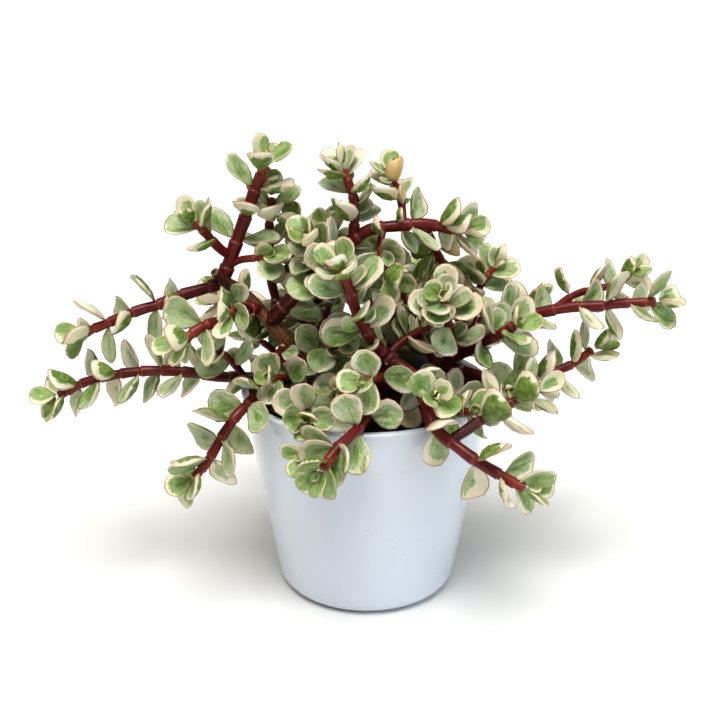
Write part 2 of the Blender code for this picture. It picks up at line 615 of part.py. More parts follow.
def build():
    """Make every solid of the plant and its pot."""
    for old in list(bpy.data.objects):
        bpy.data.objects.remove(old)
    white = material("pot_white", (0.80, 0.82, 0.84), 0.12, 0.6)
    earth = material("soil", (0.022, 0.017, 0.013), 0.95)
    bark = material("bark", (0.16, 0.09, 0.06), 0.75)
    red = material("stem", (0.18, 0.022, 0.026), 0.28)
    green = material("leaf", (0.42, 0.52, 0.26), 0.38)

    pot = revolve("pot", pot_profile(), POT_STEPS, white)
    pot_mesh = pot.data
    pot_tree = BVHTree.FromPolygons([tuple(v.co / MM) for v in pot_mesh.vertices],
                                    [tuple(p.vertices) for p in pot_mesh.polygons])
    soil_shape = soil_mesh()
    soil = new_object("soil", mesh_from("soil", *soil_shape), [earth])
    stems = WOOD + SHOOTS
    leaves = grow_leaves(stems, [pot_tree, tree(*soil_shape)])

    swollen = {}
    for stem in stems:
        shape = tube(stem)
        slots = [red, green] if stem.pairs else [bark]
        body = new_object(stem.name, mesh_from(stem.name, *shape), slots)
        own = tree(*shape)
        cutters = []
        for name, other in swollen.items():
            if own.overlap(other[0]):
                cutters.append(new_object("cutter", mesh_from("cutter", *other[1]), []))
        if cutters:
            boolean(body, "DIFFERENCE", cutters)
            keep_largest(body.data)
        parts = []
        for pose, length, width in leaves[stem.name]:
            parts.append(new_object("leaf", mesh_from("leaf", *leaf(*pose, length, width), 1),
                                    [red, green]))
        if stem.name == "trunk":
            parts.append(new_object("stub", mesh_from("stub", *tube(STUB)), [bark]))
        if parts:
            boolean(body, "UNION", parts)
        outer = tube(stem, NODE_GAP)
        swollen[stem.name] = (tree(*outer), outer)
        if len(bodies(body.data)) != 1:
            print("more than one body in", stem.name, [len(b) for b in bodies(body.data)])
        if stem.name == "trunk":
            rest = tube(STUB, NODE_GAP)
            swollen["stub"] = (tree(*rest), rest)

    holes = []
    for name in ROOTED:
        holes.append(new_object("hole", mesh_from("hole", *swollen[name][1]), []))
    boolean(soil, "DIFFERENCE", holes)
    total = 0
    for made in bpy.context.scene.objects:
        mesh = made.data
        mesh.shade_smooth()
        mesh.set_sharp_from_angle(angle=SHARP_ANGLE)
        total += sum(len(p.vertices) - 2 for p in mesh.polygons)
    print("objects", len(bpy.context.scene.objects), "triangles", total)


build()
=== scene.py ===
# %% [markdown]
# # A potted elephant bush
#
# This lesson dresses a plain solid model of a variegated elephant bush in a white pot.
# The solids are loaded as a fixed frame. Everything new is placed in that same frame,
# in metres, and each new piece stands for the solid that it covers.

import math
import random
from bisect import bisect_left

import bmesh
import bpy
from mathutils import Matrix, Vector, noise
from mathutils.bvhtree import BVHTree


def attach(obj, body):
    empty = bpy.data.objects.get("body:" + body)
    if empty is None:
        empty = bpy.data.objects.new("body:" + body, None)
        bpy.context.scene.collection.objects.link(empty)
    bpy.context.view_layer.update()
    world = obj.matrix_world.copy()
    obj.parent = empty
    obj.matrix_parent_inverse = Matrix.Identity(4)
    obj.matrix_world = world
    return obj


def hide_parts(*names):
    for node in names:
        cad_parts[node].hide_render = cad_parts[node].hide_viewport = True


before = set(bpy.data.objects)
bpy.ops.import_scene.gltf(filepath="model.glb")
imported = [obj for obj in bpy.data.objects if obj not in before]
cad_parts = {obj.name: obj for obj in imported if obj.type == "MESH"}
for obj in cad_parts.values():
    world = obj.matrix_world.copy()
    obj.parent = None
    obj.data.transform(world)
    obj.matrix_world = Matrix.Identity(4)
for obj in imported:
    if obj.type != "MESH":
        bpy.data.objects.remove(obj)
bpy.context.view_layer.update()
MM = 0.001
print("solids:", len(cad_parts))

# %% [markdown]
# ## The camera
#
# The picture was taken from a little above the rim. The camera stands on the -Y side,
# 750 mm from the middle of the plant, and looks down by about twenty degrees.
# It comes first, so that every later step can be looked at from the right place.

# %% Camera
CAMERA_DISTANCE = 0.750
CAMERA_ELEVATION = math.radians(20.54)
CAMERA_TARGET = Vector((-0.0042, 0.0, 0.1423))
CAMERA_LENS = 63.34
CAMERA_SENSOR = 36.0
CAMERA_NEAR = 0.01


def link(name, data):
    """Puts new data into the scene as an object."""
    made = bpy.data.objects.new(name, data)
    bpy.context.scene.collection.objects.link(made)
    return made


camera = link("camera", bpy.data.cameras.new("camera"))
camera.data.lens = CAMERA_LENS
camera.data.sensor_width = CAMERA_SENSOR
camera.data.clip_start = CAMERA_NEAR
back = Vector((0, -math.cos(CAMERA_ELEVATION), math.sin(CAMERA_ELEVATION)))
camera.location = CAMERA_TARGET + back * CAMERA_DISTANCE
camera.rotation_euler = (math.pi / 2 - CAMERA_ELEVATION, 0, 0)
bpy.context.scene.camera = camera
print("camera at", [round(v, 3) for v in camera.location])

# %% [markdown]
# ## Helpers for finishes and meshes
#
# Every finish is a Principled shader with a few nodes in front of it. One class keeps
# the later cells short: it adds nodes, fills their sockets, and has a short name for each
# kind of node that is used often. The sky is made with the same class.

# %% Shading helpers
def paint(shade):
    """A paint shade given as 0 to 255 on a screen, turned into the shader's own scale."""
    shares = [value / 255 for value in shade]
    return (*(share / 12.92 if share <= 0.04045 else ((share + 0.055) / 1.055) ** 2.4
              for share in shares), 1.0)


class Shading:
    """The nodes of a material or of the sky, with short names for the common ones."""

    def __init__(self, owner, end="Principled BSDF"):
        owner.use_nodes = True
        self.owner = owner
        self.nodes = owner.node_tree.nodes
        self.links = owner.node_tree.links
        self.end = self.nodes[end]
        self.colour = None

    def fill(self, sockets, values):
        """Sets sockets to values, or links them from the sockets of other nodes."""
        for key, value in values.items():
            socket = sockets[int(key[1:]) if key[1:].isdigit() else key.replace("_", " ")]
            if isinstance(value, bpy.types.NodeSocket):
                self.links.new(value, socket)
            else:
                socket.default_value = value

    def node(self, kind, settings=None, **values):
        """Adds a node. Its sockets are named, or numbered as i0, i1 and so on."""
        made = self.nodes.new(kind)
        for key, value in (settings or {}).items():
            setattr(made, key, value)
        self.fill(made.inputs, values)
        return made

    def finish(self, **values):
        """Fills the sockets of the shader at the end."""
        self.fill(self.end.inputs, values)

    def coat(self, share, shade, blend="MIX"):
        """Lays a share of a shade over the colour so far."""
        self.colour = self.mix(share, self.colour, shade, blend)
        self.finish(Base_Color=self.colour)

    def times(self, *values):
        """The product of some values."""
        product = values[0]
        for value in values[1:]:
            product = self.node("ShaderNodeMath", {"operation": "MULTIPLY"}, i0=product,
                                i1=value).outputs[0]
        return product

    def scaled(self, value, by, plus):
        """A value times a factor, plus another value."""
        return self.node("ShaderNodeMath", {"operation": "MULTIPLY_ADD"}, i0=value, i1=by,
                         i2=plus).outputs[0]

    def step(self, value, low, high, to_low=0.0, to_high=1.0):
        """A smooth rise from one value to another between two limits."""
        return self.node("ShaderNodeMapRange", {"interpolation_type": "SMOOTHSTEP"}, i0=value,
                         i1=low, i2=high, i3=to_low, i4=to_high).outputs[0]

    def mix(self, share, a, b, blend="MIX"):
        """Two colours mixed by a share. A tuple is a paint shade."""
        a, b = (paint(c) if isinstance(c, tuple) else c for c in (a, b))
        return self.node("ShaderNodeMix", {"data_type": "RGBA", "blend_type": blend},
                         i0=share, i6=a, i7=b).outputs[2]

    def noise(self, vector, scale, detail=3.0, rough=0.55):
        """A soft random value from 0 to 1."""
        return self.node("ShaderNodeTexNoise", Vector=vector, Scale=scale, Detail=detail,
                         Roughness=rough).outputs[0]

    def spots(self, vector, scale, inner, outer):
        """Round spots with a soft edge, one in each cell of a pattern."""
        cells = self.node("ShaderNodeTexVoronoi", Vector=vector, Scale=scale)
        return self.step(cells.outputs["Distance"], inner, outer, 1.0, 0.0)

    def place(self):
        """Where a point of the object lies."""
        return self.node("ShaderNodeTexCoord").outputs["Object"]

    def carried(self, name, output="Fac"):
        """A value that the mesh carries at each of its points."""
        return self.node("ShaderNodeAttribute", {"attribute_name": name}).outputs[output]

    def stretched(self, vector, *scale):
        """A place with another scale along each axis."""
        return self.node("ShaderNodeMapping", Vector=vector, Scale=scale).outputs[0]

    def height(self, vector):
        """The z value of a place."""
        return self.node("ShaderNodeSeparateXYZ", i0=vector).outputs[2]

    def off_axis(self, vector):
        """A place's distance from the z axis."""
        flat = self.node("ShaderNodeVectorMath", {"operation": "MULTIPLY"}, i0=vector,
                         i1=(1.0, 1.0, 0.0)).outputs[0]
        return self.node("ShaderNodeVectorMath", {"operation": "LENGTH"}, i0=flat).outputs[1]

    def bump(self, height, distance, strength):
        """Fine relief on a finish, with its depth in metres."""
        made = self.node("ShaderNodeBump", Height=height, Distance=distance, Strength=strength)
        self.finish(Normal=made.outputs[0])


def new_finish(name):
    """An empty material."""
    return Shading(bpy.data.materials.new(name))


def new_solid(name, bm, finish):
    """Turns a bmesh in metres into an object with one finish."""
    mesh = bpy.data.meshes.new(name)
    bm.to_mesh(mesh)
    bm.free()
    mesh.materials.append(finish.owner)
    return link(name, mesh)


# %% [markdown]
# ## The light and the floor
#
# The real plant stood in soft daylight with no hard shadow. A warm sky, brighter
# overhead than at the horizon, fills the shade. One very soft sun above and in front
# lifts the leaves' upper sides, and a cool weaker one comes from a window on the right.
# A pale floor catches a faint shadow under the pot.

# %% Light and floor
SKY_COLOUR = (1.0, 0.975, 0.89, 1.0)
HORIZON_STRENGTH = 0.17
ZENITH_STRENGTH = 0.42
ZENITH_RISE = 0.8
BACKDROP_STRENGTH = 1.0
FLOOR_HALF_SIZE = 6.0
FLOOR_DROP = 0.0004


def soft_sun(name, direction, strength, spread, colour):
    """A sun whose light comes from a wide patch of sky, so that its shadows are soft."""
    lamp = link(name, bpy.data.lights.new(name, "SUN"))
    lamp.data.energy = strength
    lamp.data.angle = math.radians(spread)
    lamp.data.color = colour
    lamp.rotation_euler = Vector(direction).to_track_quat("-Z", "Y").to_euler()


soft_sun("day_light", direction=(0.06, 0.40, -1.0), strength=2.6, spread=34.0,
         colour=(1.0, 0.985, 0.955))
soft_sun("window_light", direction=(-1.0, 0.55, -0.35), strength=0.68, spread=40.0,
         colour=(0.62, 0.82, 1.0))

# The sky is bright overhead and dim at the horizon, but the camera sees it all pale.
sky = Shading(bpy.data.worlds.new("soft_sky"), "Background")
rise = sky.node("ShaderNodeMapRange", i1=0.0, i2=ZENITH_RISE, i3=HORIZON_STRENGTH,
                i4=ZENITH_STRENGTH,
                i0=sky.height(sky.node("ShaderNodeTexCoord").outputs["Generated"]))
seen = sky.node("ShaderNodeMix", i2=rise.outputs[0], i3=BACKDROP_STRENGTH,
                i0=sky.node("ShaderNodeLightPath").outputs["Is Camera Ray"])
sky.finish(Color=SKY_COLOUR, Strength=seen.outputs[0])
bpy.context.scene.world = sky.owner
bpy.context.scene.view_settings.view_transform = "Standard"
bpy.context.scene.view_settings.look = "Medium High Contrast"

pale = new_finish("pale_floor")
pale.finish(Roughness=0.7, Base_Color=pale.mix(pale.noise(pale.place(), 3.0),
                                               (238.6, 238.6, 238.6), (243.4, 243.4, 243.4)))
ground = bmesh.new()
bmesh.ops.create_grid(ground, x_segments=1, y_segments=1, size=FLOOR_HALF_SIZE,
                      matrix=Matrix.Translation((0, 0, -FLOOR_DROP)))
floor = new_solid("floor", ground, pale)
print("lights:", [lamp.name for lamp in bpy.data.lights], "and the sky")

# %% [markdown]
# ## A helper for pieces
#
# A piece is finished when it is an object in the scene with its finish, rides on the one
# body and hides the solid that it stands for.

# %% Piece helper
MADE = []


def finish_piece(name, bm, finish, covers, smooth=True):
    """Turns a bmesh in metres into a piece that stands for a solid."""
    piece = new_solid(name, bm, finish)
    if smooth:
        piece.data.shade_smooth()
    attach(piece, "root")
    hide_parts(covers)
    MADE.append((name, sum(len(p.vertices) - 2 for p in piece.data.polygons)))


def triangles(ending=""):
    """Triangles in all the pieces whose names end so."""
    return sum(count for name, count in MADE if name.endswith(ending))


# %% [markdown]
# ## The glaze
#
# The pot has a clear glossy glaze over a cool white body. It isn't perfectly even: it
# pools a little, carries a few dark specks and has faint scuffs near the foot. Inside,
# the wall is painted darker above the soil, as painted shade. A coat layer gives the sharp
# reflection and the body under it stays soft.

# %% Glaze
# The painted shade on the inner wall lies inside these radii; it fades toward the lip
# and ends under the soil.
INNER_WALL = (0.0703, 0.0708)
INNER_SHADE_TOP = (0.1165, 0.1255)
INNER_SHADE_FOOT = (0.1, 0.11)

glaze = new_finish("glaze")
place = glaze.place()
height = glaze.height(place)
glaze.colour = glaze.mix(glaze.noise(place, 14.0, 2.0), (200, 207, 219), (209, 215, 227))
rare = glaze.step(glaze.noise(place, 22.0, 1.0), 0.54, 0.64)
speck = glaze.times(glaze.spots(place, 160.0, 0.04, 0.08), rare, 0.5)
glaze.coat(speck, (120, 112, 104))
inside = glaze.step(glaze.off_axis(place), *INNER_WALL, 1.0, 0.0)
# Painted shade: the inner wall is darkened from under the soil up toward the lip.
painted_inner_shade = glaze.times(glaze.step(height, *INNER_SHADE_TOP, 0.85, 0.15), inside,
                    glaze.step(height, *INNER_SHADE_FOOT))
glaze.coat(painted_inner_shade, (84, 74, 66))
rubbed = glaze.step(glaze.noise(glaze.stretched(place, 1.0, 1.0, 9.0), 90.0, 4.0), 0.6, 0.75)
scuff = glaze.times(rubbed, glaze.step(height, 0.002, 0.05, 1.0, 0.0), 0.35)
glaze.coat(scuff, (196, 198, 198))
glaze.finish(Roughness=glaze.scaled(scuff, 0.6, 0.16), Coat_Weight=0.7,
             Coat_Roughness=0.04, Specular_IOR_Level=0.5)
glaze.bump(glaze.noise(place, 38.0, 1.0), 0.0002, 0.2)

# %% [markdown]
# ## The potting soil
#
# Potting soil is dark when moist, with browner bark chips and fibres in it. Its colour is
# painted nearly black, partly as painted shade under the crown.
# One finish serves the ground and the loose crumbs: broad noise for damp patches, fine
# noise for grains, and a strong bump because nothing in it is smooth.

# %% Soil finish
earth = new_finish("potting_soil")
place = earth.place()
grain = earth.noise(place, 420.0, 5.0, 0.7)
# The ground's near-black base colour is partly painted shade under the crown.
earth.colour = earth.mix(grain, (26, 20, 17), (78, 62, 50))
earth.coat(earth.noise(place, 38.0, 2.0), (34, 27, 23))
chips = earth.times(earth.spots(place, 330.0, 0.12, 0.2), 0.5)
earth.coat(chips, (112, 84, 60))
earth.finish(Roughness=0.95, Specular_IOR_Level=0.25)
earth.bump(grain, 0.0012, 0.9)

# %% [markdown]
# ## Bark
#
# The old limbs are brown wood with lengthwise cracks and darker hollows. Each limb
# carries a straightened copy of its own place, so the cracks run along the limb however
# it bends.

# %% Bark finish
bark = new_finish("bark")
place = bark.carried("grain", "Vector")
ridges = bark.noise(bark.stretched(place, 1.0, 1.0, 0.28), 620.0, 5.0, 0.7)
bark.colour = bark.mix(bark.step(ridges, 0.30, 0.68), (62, 36, 24), (158, 112, 78))
patches = bark.step(bark.noise(place, 70.0), 0.35, 0.7, 0.0, 0.6)
bark.coat(patches, (118, 76, 50))
mossy = bark.step(bark.height(place), 0.026, 0.05, 0.6, 0.0)
bark.coat(mossy, (112, 98, 56))
crack = bark.step(ridges, 0.33, 0.42, 0.8, 0.0)
bark.coat(crack, (34, 22, 18))
red_wood = bark.mix(ridges, (48, 18, 18), (104, 44, 38))
bark.coat(bark.carried("young"), red_wood)
rings = bark.node("ShaderNodeTexWave", {"wave_type": "RINGS"}, Vector=place, Scale=160.0,
                  Distortion=3.0)
wood = bark.mix(rings.outputs["Fac"], (198, 166, 128), (150, 112, 80))
pith = bark.step(bark.off_axis(place), 0.0012, 0.0018, 0.85, 0.0)
bark.coat(bark.carried("cut"), bark.mix(pith, wood, (44, 26, 18)))
bark.finish(Roughness=0.78, Specular_IOR_Level=0.35)
bark.bump(ridges, 0.0009, 0.8)

# %% [markdown]
# ## Red stems
#
# Young stems are fleshy and shine. They are wine red and browner at the tip. The old end is
# nearly black: darker with age, and painted darker as painted shade inside the crown. There
# is a paler ring at each joint and there are small corky spots on the older part. The mesh
# carries the age and the joints; noise adds the rest.

# %% Stem finish
red = new_finish("red_stem")
place = red.carried("grain", "Vector")
age = red.carried("age")
flow = red.noise(red.stretched(place, 1.0, 1.0, 0.3), 420.0)
patches = red.noise(place, 110.0)
young = red.mix(flow, (86, 17, 18), (118, 34, 31))
tip = red.mix(flow, (118, 42, 28), (148, 62, 42))
# Old end: darker with age, and its near-black is partly painted shade inside the crown.
old = red.mix(flow, (44, 14, 13), (80, 29, 25))
red.colour = red.mix(red.step(age, 0.0, 0.18), tip, young)
red.coat(red.step(age, 0.45, 1.2), old)
red.coat(red.step(patches, 0.5, 0.72, 0.0, 0.5), (58, 14, 18))
cork = red.times(red.spots(place, 420.0, 0.10, 0.17), red.step(age, 0.3, 0.9, 0.0, 0.8),
                 red.step(patches, 0.42, 0.55))
red.coat(cork, (178, 140, 112))
red.coat(red.times(red.carried("joint"), 0.5), (150, 76, 68))
red.coat(red.carried("scar"), (196, 158, 118))
red.finish(Roughness=red.scaled(patches, 0.24, 0.28),
           Specular_IOR_Level=0.34, Coat_Weight=0.05, Coat_Roughness=0.2)
red.bump(flow, 0.00035, 0.5)

# %% [markdown]
# ## Leaves
#
# A variegated leaf has a mint green heart with soft streaks that run from its stalk to
# its tip, a cream margin that may be narrow or fill half of the leaf, and a fine pink
# line at the very edge. The palest mint is lightened by a painted sheen. The underside is a
# fuller green, painted a little darker as painted shade. Each leaf carries its own
# numbers: how far a point is from the heart, how wide its cream is, its tone and its
# age. So one finish gives hundreds of different leaves.

# %% Leaf finish
skin = new_finish("leaf_skin")
blade = skin.node("ShaderNodeUVMap", {"uv_map": "blade"}).outputs["UV"]
streak = skin.noise(skin.stretched(blade, 1.0, 0.30, 1.0), 3.4, 4.0, 0.6)
blotch = skin.noise(blade, 0.85)
mottle = skin.noise(blade, 2.2, 3.0, 0.6)
fine = skin.noise(blade, 8.0, 3.0, 0.6)
side = skin.carried("side")
youth = skin.carried("youth")

# How far a point is past the heart's ragged edge; the underside's margin is wider.
over = skin.scaled(streak, 0.8, skin.carried("margin"))
over = skin.scaled(blotch, 0.6, over)
over = skin.scaled(skin.carried("cream"), -1.0, over)
over = skin.scaled(skin.step(side, -0.7, 0.4, -0.57, -0.7), 1.0, over)

# The heart, from mint at its middle to green, with marbling and small specks. The paler
# mint shade is the leaf's mint lightened by a painted sheen.
heart = skin.mix(skin.step(streak, 0.36, 0.64), (100, 129, 58), (146, 168, 115))
# Painted sheen: the paler of these two mint shades stands in for a sheen on the leaf.
mint_and_sheen = skin.mix(skin.step(blotch, 0.38, 0.62), (195, 204, 171), (155, 174, 129))
spread = skin.scaled(skin.carried("tone"), 0.45, over)
grown = skin.mix(skin.step(spread, -0.62, 0.0), heart, mint_and_sheen)
marble = skin.step(skin.scaled(blotch, 0.5, streak), 0.80, 0.92, 0.0, 0.5)
grown = skin.mix(marble, grown, (222, 222, 190))
fresh = skin.mix(skin.step(streak, 0.34, 0.66), (116, 148, 70), (166, 188, 118))
upper = skin.mix(skin.times(youth, 0.75), grown, fresh)
# Underside greens: a fuller green, painted a little darker as painted shade.
lower = skin.mix(skin.step(mottle, 0.40, 0.62), (93, 117, 50), (132, 151, 80))
green = skin.mix(skin.step(side, -0.25, 0.05), lower, upper)
green = skin.mix(skin.step(fine, 0.52, 0.68, 0.0, 0.38), green, (82, 113, 40))
green = skin.mix(skin.step(fine, 0.34, 0.46, 0.26, 0.0), green, (196, 214, 150))

# The margin, the pink line at the edge, the stalk and withered leaves.
cream = skin.mix(skin.step(blotch, 0.35, 0.65), (234, 229, 214), (222, 211, 183))
cream = skin.mix(skin.times(youth, 0.35), cream, (221, 219, 170))
skin.colour = skin.mix(skin.step(over, -0.07, 0.08), green, cream)
edge = skin.step(skin.scaled(blotch, 0.05, skin.carried("reach")), 0.955, 0.99)
skin.coat(skin.times(edge, skin.carried("blush")), (190, 132, 110))
stalk = skin.step(skin.carried("root"), 0.0, 1.0, 0.0, 0.85)
skin.coat(stalk, (146, 150, 74))
withered = skin.mix(streak, (196, 152, 84), (226, 196, 134))
skin.coat(skin.carried("dry"), withered)

# Rare brown spots, and a fine grain over everything.
spot = skin.times(skin.spots(blade, 2.6, 0.05, 0.11), skin.step(blotch, 0.58, 0.64), 0.7)
skin.coat(spot, (134, 84, 52))
shade = skin.step(skin.noise(blade, 19.0, 2.0, 0.6), 0.30, 0.70, 0.87, 1.13)
grey = skin.node("ShaderNodeCombineXYZ", X=shade, Y=shade, Z=shade).outputs[0]
skin.coat(1.0, grey, "MULTIPLY")
skin.finish(Roughness=skin.scaled(fine, 0.18, 0.29),
            Specular_IOR_Level=0.4, Subsurface_Weight=0.12, Subsurface_Scale=0.002,
            Subsurface_Radius=(1.0, 1.0, 0.35))
skin.bump(skin.scaled(fine, 0.35, streak), 0.0004, 0.65)
print("finishes:", [m.name for m in bpy.data.materials])

# %% [markdown]
# ## The pot
#
# A round pot is made on a wheel, so half of its section is drawn once and spun round
# the z axis. The section holds what the eye notices: a foot that is rounded under, a
# straight tapered wall, and a lip that is rolled over. The spin has many more steps
# than the solid's, so the rim is truly round close up.

# %% Pot
RIM_RADIUS = 75.0
POT_HEIGHT = 127.0
BASE_RADIUS = 53.0
FOOT_ROUNDING = 10.5
WALL = 3.6
FLOOR_THICKNESS = 4.5
LIP_WIDTH = 5.0
LIP_DEPTH = 5.0
LIP_ROUNDING = 1.6
FOOT_STEP = 0.6
FLOOR_BEND = 14.0
FLOOR_ROUNDING = 5.0
FINE_POT_STEPS = 128
WALL_SLOPE = (RIM_RADIUS - BASE_RADIUS) / POT_HEIGHT
WALL_LEAN = math.atan(WALL_SLOPE)


def wall_radius(height, inset=0.0):
    """Radius of the pot's wall at a height, less a thickness measured square to it."""
    return BASE_RADIUS + WALL_SLOPE * height - inset / math.cos(WALL_LEAN)


def arc(centre, radius, first, last, steps):
    """Points of an arc in the section, from one angle to another in degrees."""
    made = []
    for i in range(steps + 1):
        turn = math.radians(first + (last - first) * i / steps)
        made.append((centre[0] + radius * math.cos(turn), centre[1] + radius * math.sin(turn)))
    return made


def pot_section():
    """The pot's section, from the middle of its base round to its inner floor."""
    lean = math.degrees(WALL_LEAN)
    foot = (wall_radius(FOOT_ROUNDING, FOOT_ROUNDING), FOOT_ROUNDING)
    points = [(0.0, FOOT_STEP), (BASE_RADIUS * 0.62, FOOT_STEP), (BASE_RADIUS * 0.66, 0.0)]
    points += arc(foot, FOOT_ROUNDING, -90, -lean, 10)
    points += [(wall_radius(h), h) for h in (35.0, 65.0, 95.0, POT_HEIGHT - LIP_DEPTH - 3)]
    points.append((wall_radius(POT_HEIGHT - LIP_DEPTH), POT_HEIGHT - LIP_DEPTH))
    outer = (RIM_RADIUS - LIP_ROUNDING, POT_HEIGHT - LIP_ROUNDING)
    points += arc(outer, LIP_ROUNDING, -lean, 90, 6)
    inner = (RIM_RADIUS - LIP_WIDTH + LIP_ROUNDING, POT_HEIGHT - LIP_ROUNDING)
    points += arc(inner, LIP_ROUNDING, 90, 190, 6)
    points += [(wall_radius(h, WALL), h)
               for h in (POT_HEIGHT - LIP_DEPTH, 90.0, 50.0, FLOOR_BEND)]
    bend = (wall_radius(FLOOR_BEND, WALL) - FLOOR_ROUNDING, FLOOR_THICKNESS + FLOOR_ROUNDING)
    points += arc(bend, FLOOR_ROUNDING, -12, -90, 4)
    points.append((0.0, FLOOR_THICKNESS))
    return points


def spin_section(section, steps):
    """A bmesh in metres turned from a section of (radius, height) in millimetres."""
    bm = bmesh.new()
    line = [bm.verts.new((r * MM, 0, z * MM)) for r, z in section]
    edges = [bm.edges.new(pair) for pair in zip(line, line[1:])]
    bmesh.ops.spin(bm, geom=line + edges, axis=(0, 0, 1), cent=(0, 0, 0), angle=math.tau,
                   steps=steps, use_merge=True)
    bmesh.ops.remove_doubles(bm, verts=bm.verts, dist=1e-6)
    bmesh.ops.recalc_face_normals(bm, faces=bm.faces)
    return bm


finish_piece("pot_glazed", spin_section(pot_section(), FINE_POT_STEPS), glaze, "pot")
print("pot:", MADE[-1])

# %% [markdown]
# ## Stem routes
#
# A bush is a set of routes in space. Each stem is a smooth curve through a few points,
# with two or more radii on its way. The routes, in millimetres, are the ones that the solid
# model was built from, so every stem made here lies where its solid lies.

# %% Stem class
UP = Vector((0.0, 0.0, 1.0))
FRONT = Vector((0.0, -1.0, 0.0))
CURVE_STEP = 1.5
WOOD_SIDES = 7
SHOOT_SIDES = 5


class Stem:
    """One stem: its route from base to tip and how its leaves stand.

    Its radii stand at even distances from base to tip.
    """

    def __init__(self, name, route, radii, pairs=0, roll=0, size=1.0, gap=0):
        self.name = name
        self.sides = SHOOT_SIDES if pairs else WOOD_SIDES
        self.radii = radii
        self.pairs = pairs
        self.roll = roll
        self.size = size
        self.gap = gap
        self.points = smooth_route([Vector(p) for p in route])
        self.lengths = [0.0]
        for a, b in zip(self.points, self.points[1:]):
            self.lengths.append(self.lengths[-1] + (b - a).length)
        self.total = self.lengths[-1]
        lean = (self.points[-1] - self.points[0]).normalized()
        self.reference = UP if abs(lean.z) < 0.8 else FRONT

    def at(self, distance):
        """Point, direction and radius at a distance from the base."""
        distance = min(max(distance, 0.0), self.total)
        i = max(1, bisect_left(self.lengths, distance))
        part = (distance - self.lengths[i - 1]) / (self.lengths[i] - self.lengths[i - 1])
        point = self.points[i - 1].lerp(self.points[i], part)
        before = self.points[max(i - 3, 0)]
        after = self.points[min(i + 2, len(self.points) - 1)]
        place = distance / self.total * (len(self.radii) - 1)
        k = min(int(place), len(self.radii) - 2)
        radius = self.radii[k] + (self.radii[k + 1] - self.radii[k]) * (place - k)
        return point, (after - before).normalized(), radius

    def outward(self, direction, turn):
        """A direction square to the stem, turned about it from the reference."""
        first = self.reference - direction * self.reference.dot(direction)
        first.normalize()
        return first * math.cos(turn) + direction.cross(first) * math.sin(turn)


def smooth_route(route):
    """Points every CURVE_STEP along a curve through the route's points."""
    ends = [route[0] * 2 - route[1]] + route + [route[-1] * 2 - route[-2]]
    points = []
    for a, b, c, d in zip(ends, ends[1:], ends[2:], ends[3:]):
        steps = max(1, round((c - b).length / CURVE_STEP))
        for i in range(steps):
            t = i / steps
            points.append(0.5 * (2 * b + (c - a) * t + (2 * a - 5 * b + 4 * c - d) * t ** 2
                                 + (3 * b - a - 3 * c + d) * t ** 3))
    points.append(route[-1].copy())
    return points


